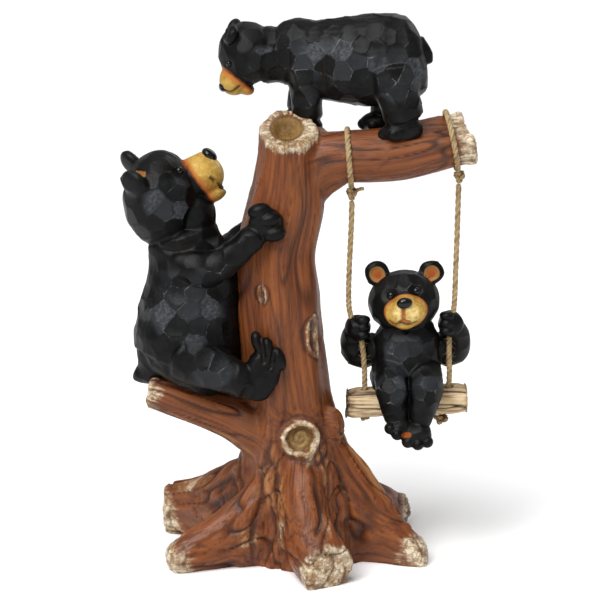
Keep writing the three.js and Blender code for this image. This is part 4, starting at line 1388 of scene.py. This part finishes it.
def swung(part):
    """A part of the cub, set back to hang in the twines' plane."""
    back = (0, SWING_BACK, 0)
    other = dict(part)
    if "at" in part:
        other["at"] = tuple(row(part["at"]) + back)
    if "line" in part:
        other["line"] = row(part["line"]) + back
    return other


def cub(paints):
    bm = bmesh.new()
    torso(bm, swung(CUB_TORSO))
    for part in (CUB_SKULL, CUB_MUZZLE, CUB_CHIN):
        ball(bm, **swung(part))
    ears = [swung(dict(at=at))["at"] for at in CUB_EARS]
    for places, size in ((ears, CUB_EAR), ([swung(dict(at=at))["at"] for at in CUB_CHEEKS], CUB_CHEEK)):
        for at in places:
            ball(bm, at, size)
    for part in CUB_ARMS:
        limb(bm, swung(part)["line"], part["radii"])
    small = []
    for inward, at in zip((1, -1), CUB_PAWS):
        x, y, z = swung(dict(at=at))["at"]
        ball(bm, (x, y, z), CUB_PAW)
        for step in (-1, 0, 1):
            finger = (x + inward * CUB_FINGER_INWARD, y - CUB_FINGER_FORWARD,
                      z + CUB_FINGER_RISE + step * CUB_FINGER_STEP)
            small.append(finger)
            ball(bm, finger, CUB_FINGER)
    for part in CUB_LEGS:
        limb(bm, swung(part)["line"], part["radii"], side=(1, 0, 0))
    for foot in CUB_FEET:
        ball(bm, swung(foot)["at"], foot["size"])
        for toe in foot["toes"]:
            small.append(swung(dict(at=toe))["at"])
            ball(bm, small[-1], CUB_TOE)
    face = swung(CUB_MUZZLE)

    def muzzle(skin):
        points = skin.points
        local = (points - row(face["at"])) @ row(turned(face["turn"]).to_3x3())
        ring = np.hypot(local[:, 0] / 15.8, (local[:, 2] + 0.6) / 13)
        return np.where((points[:, 1] < -8) & (points[:, 2] > 172), (1 - ring) * 36, -9)

    look = dict(
        muzzle=muzzle,
        painted_ears=True,
        facets=(8.5, 20, 13),
        faceted=CUB_FACETED,
        ears=[(at, (0, -1, 0), CUB_EAR_CUP) for at in ears],
        small=small,
        small_size=6.5,
        marks=[
            dict(line=flat_line((73.4, 191), (73.4, 186.5), (73.6, 182)), width=1.5, depth=1.7, rust=0.85),
            dict(line=flat_line((70.8, 181.2), (74, 181.6), (77.8, 181.2)), width=1.3, depth=0.6, rust=0.9),
            dict(line=flat_line((63.8, 181.4), (67.4, 178.8), (70.8, 179.8), (74, 179.4), (78.2, 179), (83, 180.8)),
                 width=0.75, depth=1.5, painted_shade=0.95),
            *[dict(line=flat_line(eye, eye), width=4.6, depth=1.7, painted_shade=0.5) for eye in CUB_EYES],
            dict(line=flat_line(*CUB_SOLE), width=1.7, depth=0, rust=0.85),
        ],
        nose=swung(CUB_NOSE),
        eyes=CUB_EYES,
        eye_size=3.3,
        sides=(-1,),
        mid=-8,
    )
    bear("cub", Skin(fused(bm, CUB_VOXEL, 4)), look, paints, "swing", ["swing_cub"])


def squared(t, angle):
    corner = np.abs(np.cos(angle)) ** SEAT_SQUARENESS + np.abs(np.sin(angle)) ** SEAT_SQUARENESS
    stretch = corner ** (-1 / SEAT_SQUARENESS)
    return SEAT_HALF_DEPTH * stretch, SEAT_HALF_HEIGHT * stretch


def log_seat():
    bm = bmesh.new()
    line = row(swung(dict(line=SEAT_LINE))["line"])
    longer = line.copy()
    longer[0, 0] -= 3
    longer[-1, 0] += 3
    limb(bm, longer, [1, 1], tips=(0, 0), shape=squared, sides=64, rows=64)
    cut(bm, line[0], (-1, 0, 0))
    cut(bm, line[-1], (1, 0, 0))
    skin = Skin(fused(bm, SEAT_VOXEL, 3))
    points = skin.points
    along_grain = points / (27, 4.4, 4) + rough(points, 26, 60, 2)[:, None] * (0, 0.6, 0.6)
    coarse = noise(along_grain, 61)
    fine = noise(points / (22, 1.9, 1.9), 62)
    ends = np.minimum(points[:, 0] - line[0, 0], line[-1, 0] - points[:, 0])
    face = smoothstep(2.2, 0.6, ends)
    shaded_crack = (1 - smoothstep(0, 0.11, np.abs(coarse - 0.5))) * smoothstep(0.25, 0.5, noise(points / (45, 14, 14), 63))
    height = (1.2 * (coarse - 0.7) - 1.9 * shaded_crack + 0.6 * (fine - 0.6)) * (1 - face)
    height += 1.5 * smoothstep(12, 1, ends) * (rough(points, 6, 64) - 0.7) + 1.5 * (rough(points, 17, 65) - 0.5)
    worn_off = smoothstep(6, 0, ends) ** 2 * (1 - np.abs(skin.normals[:, 0]) ** 3)
    height -= (2.6 + 2.4 * (rough(points, 9, 66) - 0.5)) * worn_off
    spots = np.zeros(len(points))
    top = points[:, 2] > 120
    for x, y, size in SEAT_SPOTS:
        reach = np.hypot(points[:, 0] - x, points[:, 1] - y)
        spots = np.maximum(spots, np.where(top, smoothstep(size, 0.7 * size, reach), 0))
    upward = smoothstep(0.2, 0.7, skin.normals[:, 2])
    skin.push(np.minimum(height - 1.2 * spots, 0.25))
    skin.store("flow", points)
    # The cracks and the dents on the top, for their painted shade
    skin.store("shaded_crack", np.clip(np.maximum(shaded_crack * (1 - 0.6 * face), spots), 0, 1))
    from_left = points[:, 0] - line[0, 0] + 3 * (rough(points, 9, 67) - 0.5)
    skin.store("dark_end", np.maximum(smoothstep(4.2, 1.2, from_left), 0.4 * smoothstep(2.4, 0.4, ends)))
    skin.store("upward", upward)
    finish_piece("log_seat", skin.mesh, seat_paint(), "swing", ["swing_cub"])


studio()
twines()
tree()
bear_paints = (fur_paint(), gloss_paint())
climber(bear_paints)
stander(bear_paints)
cub(bear_paints)
log_seat()
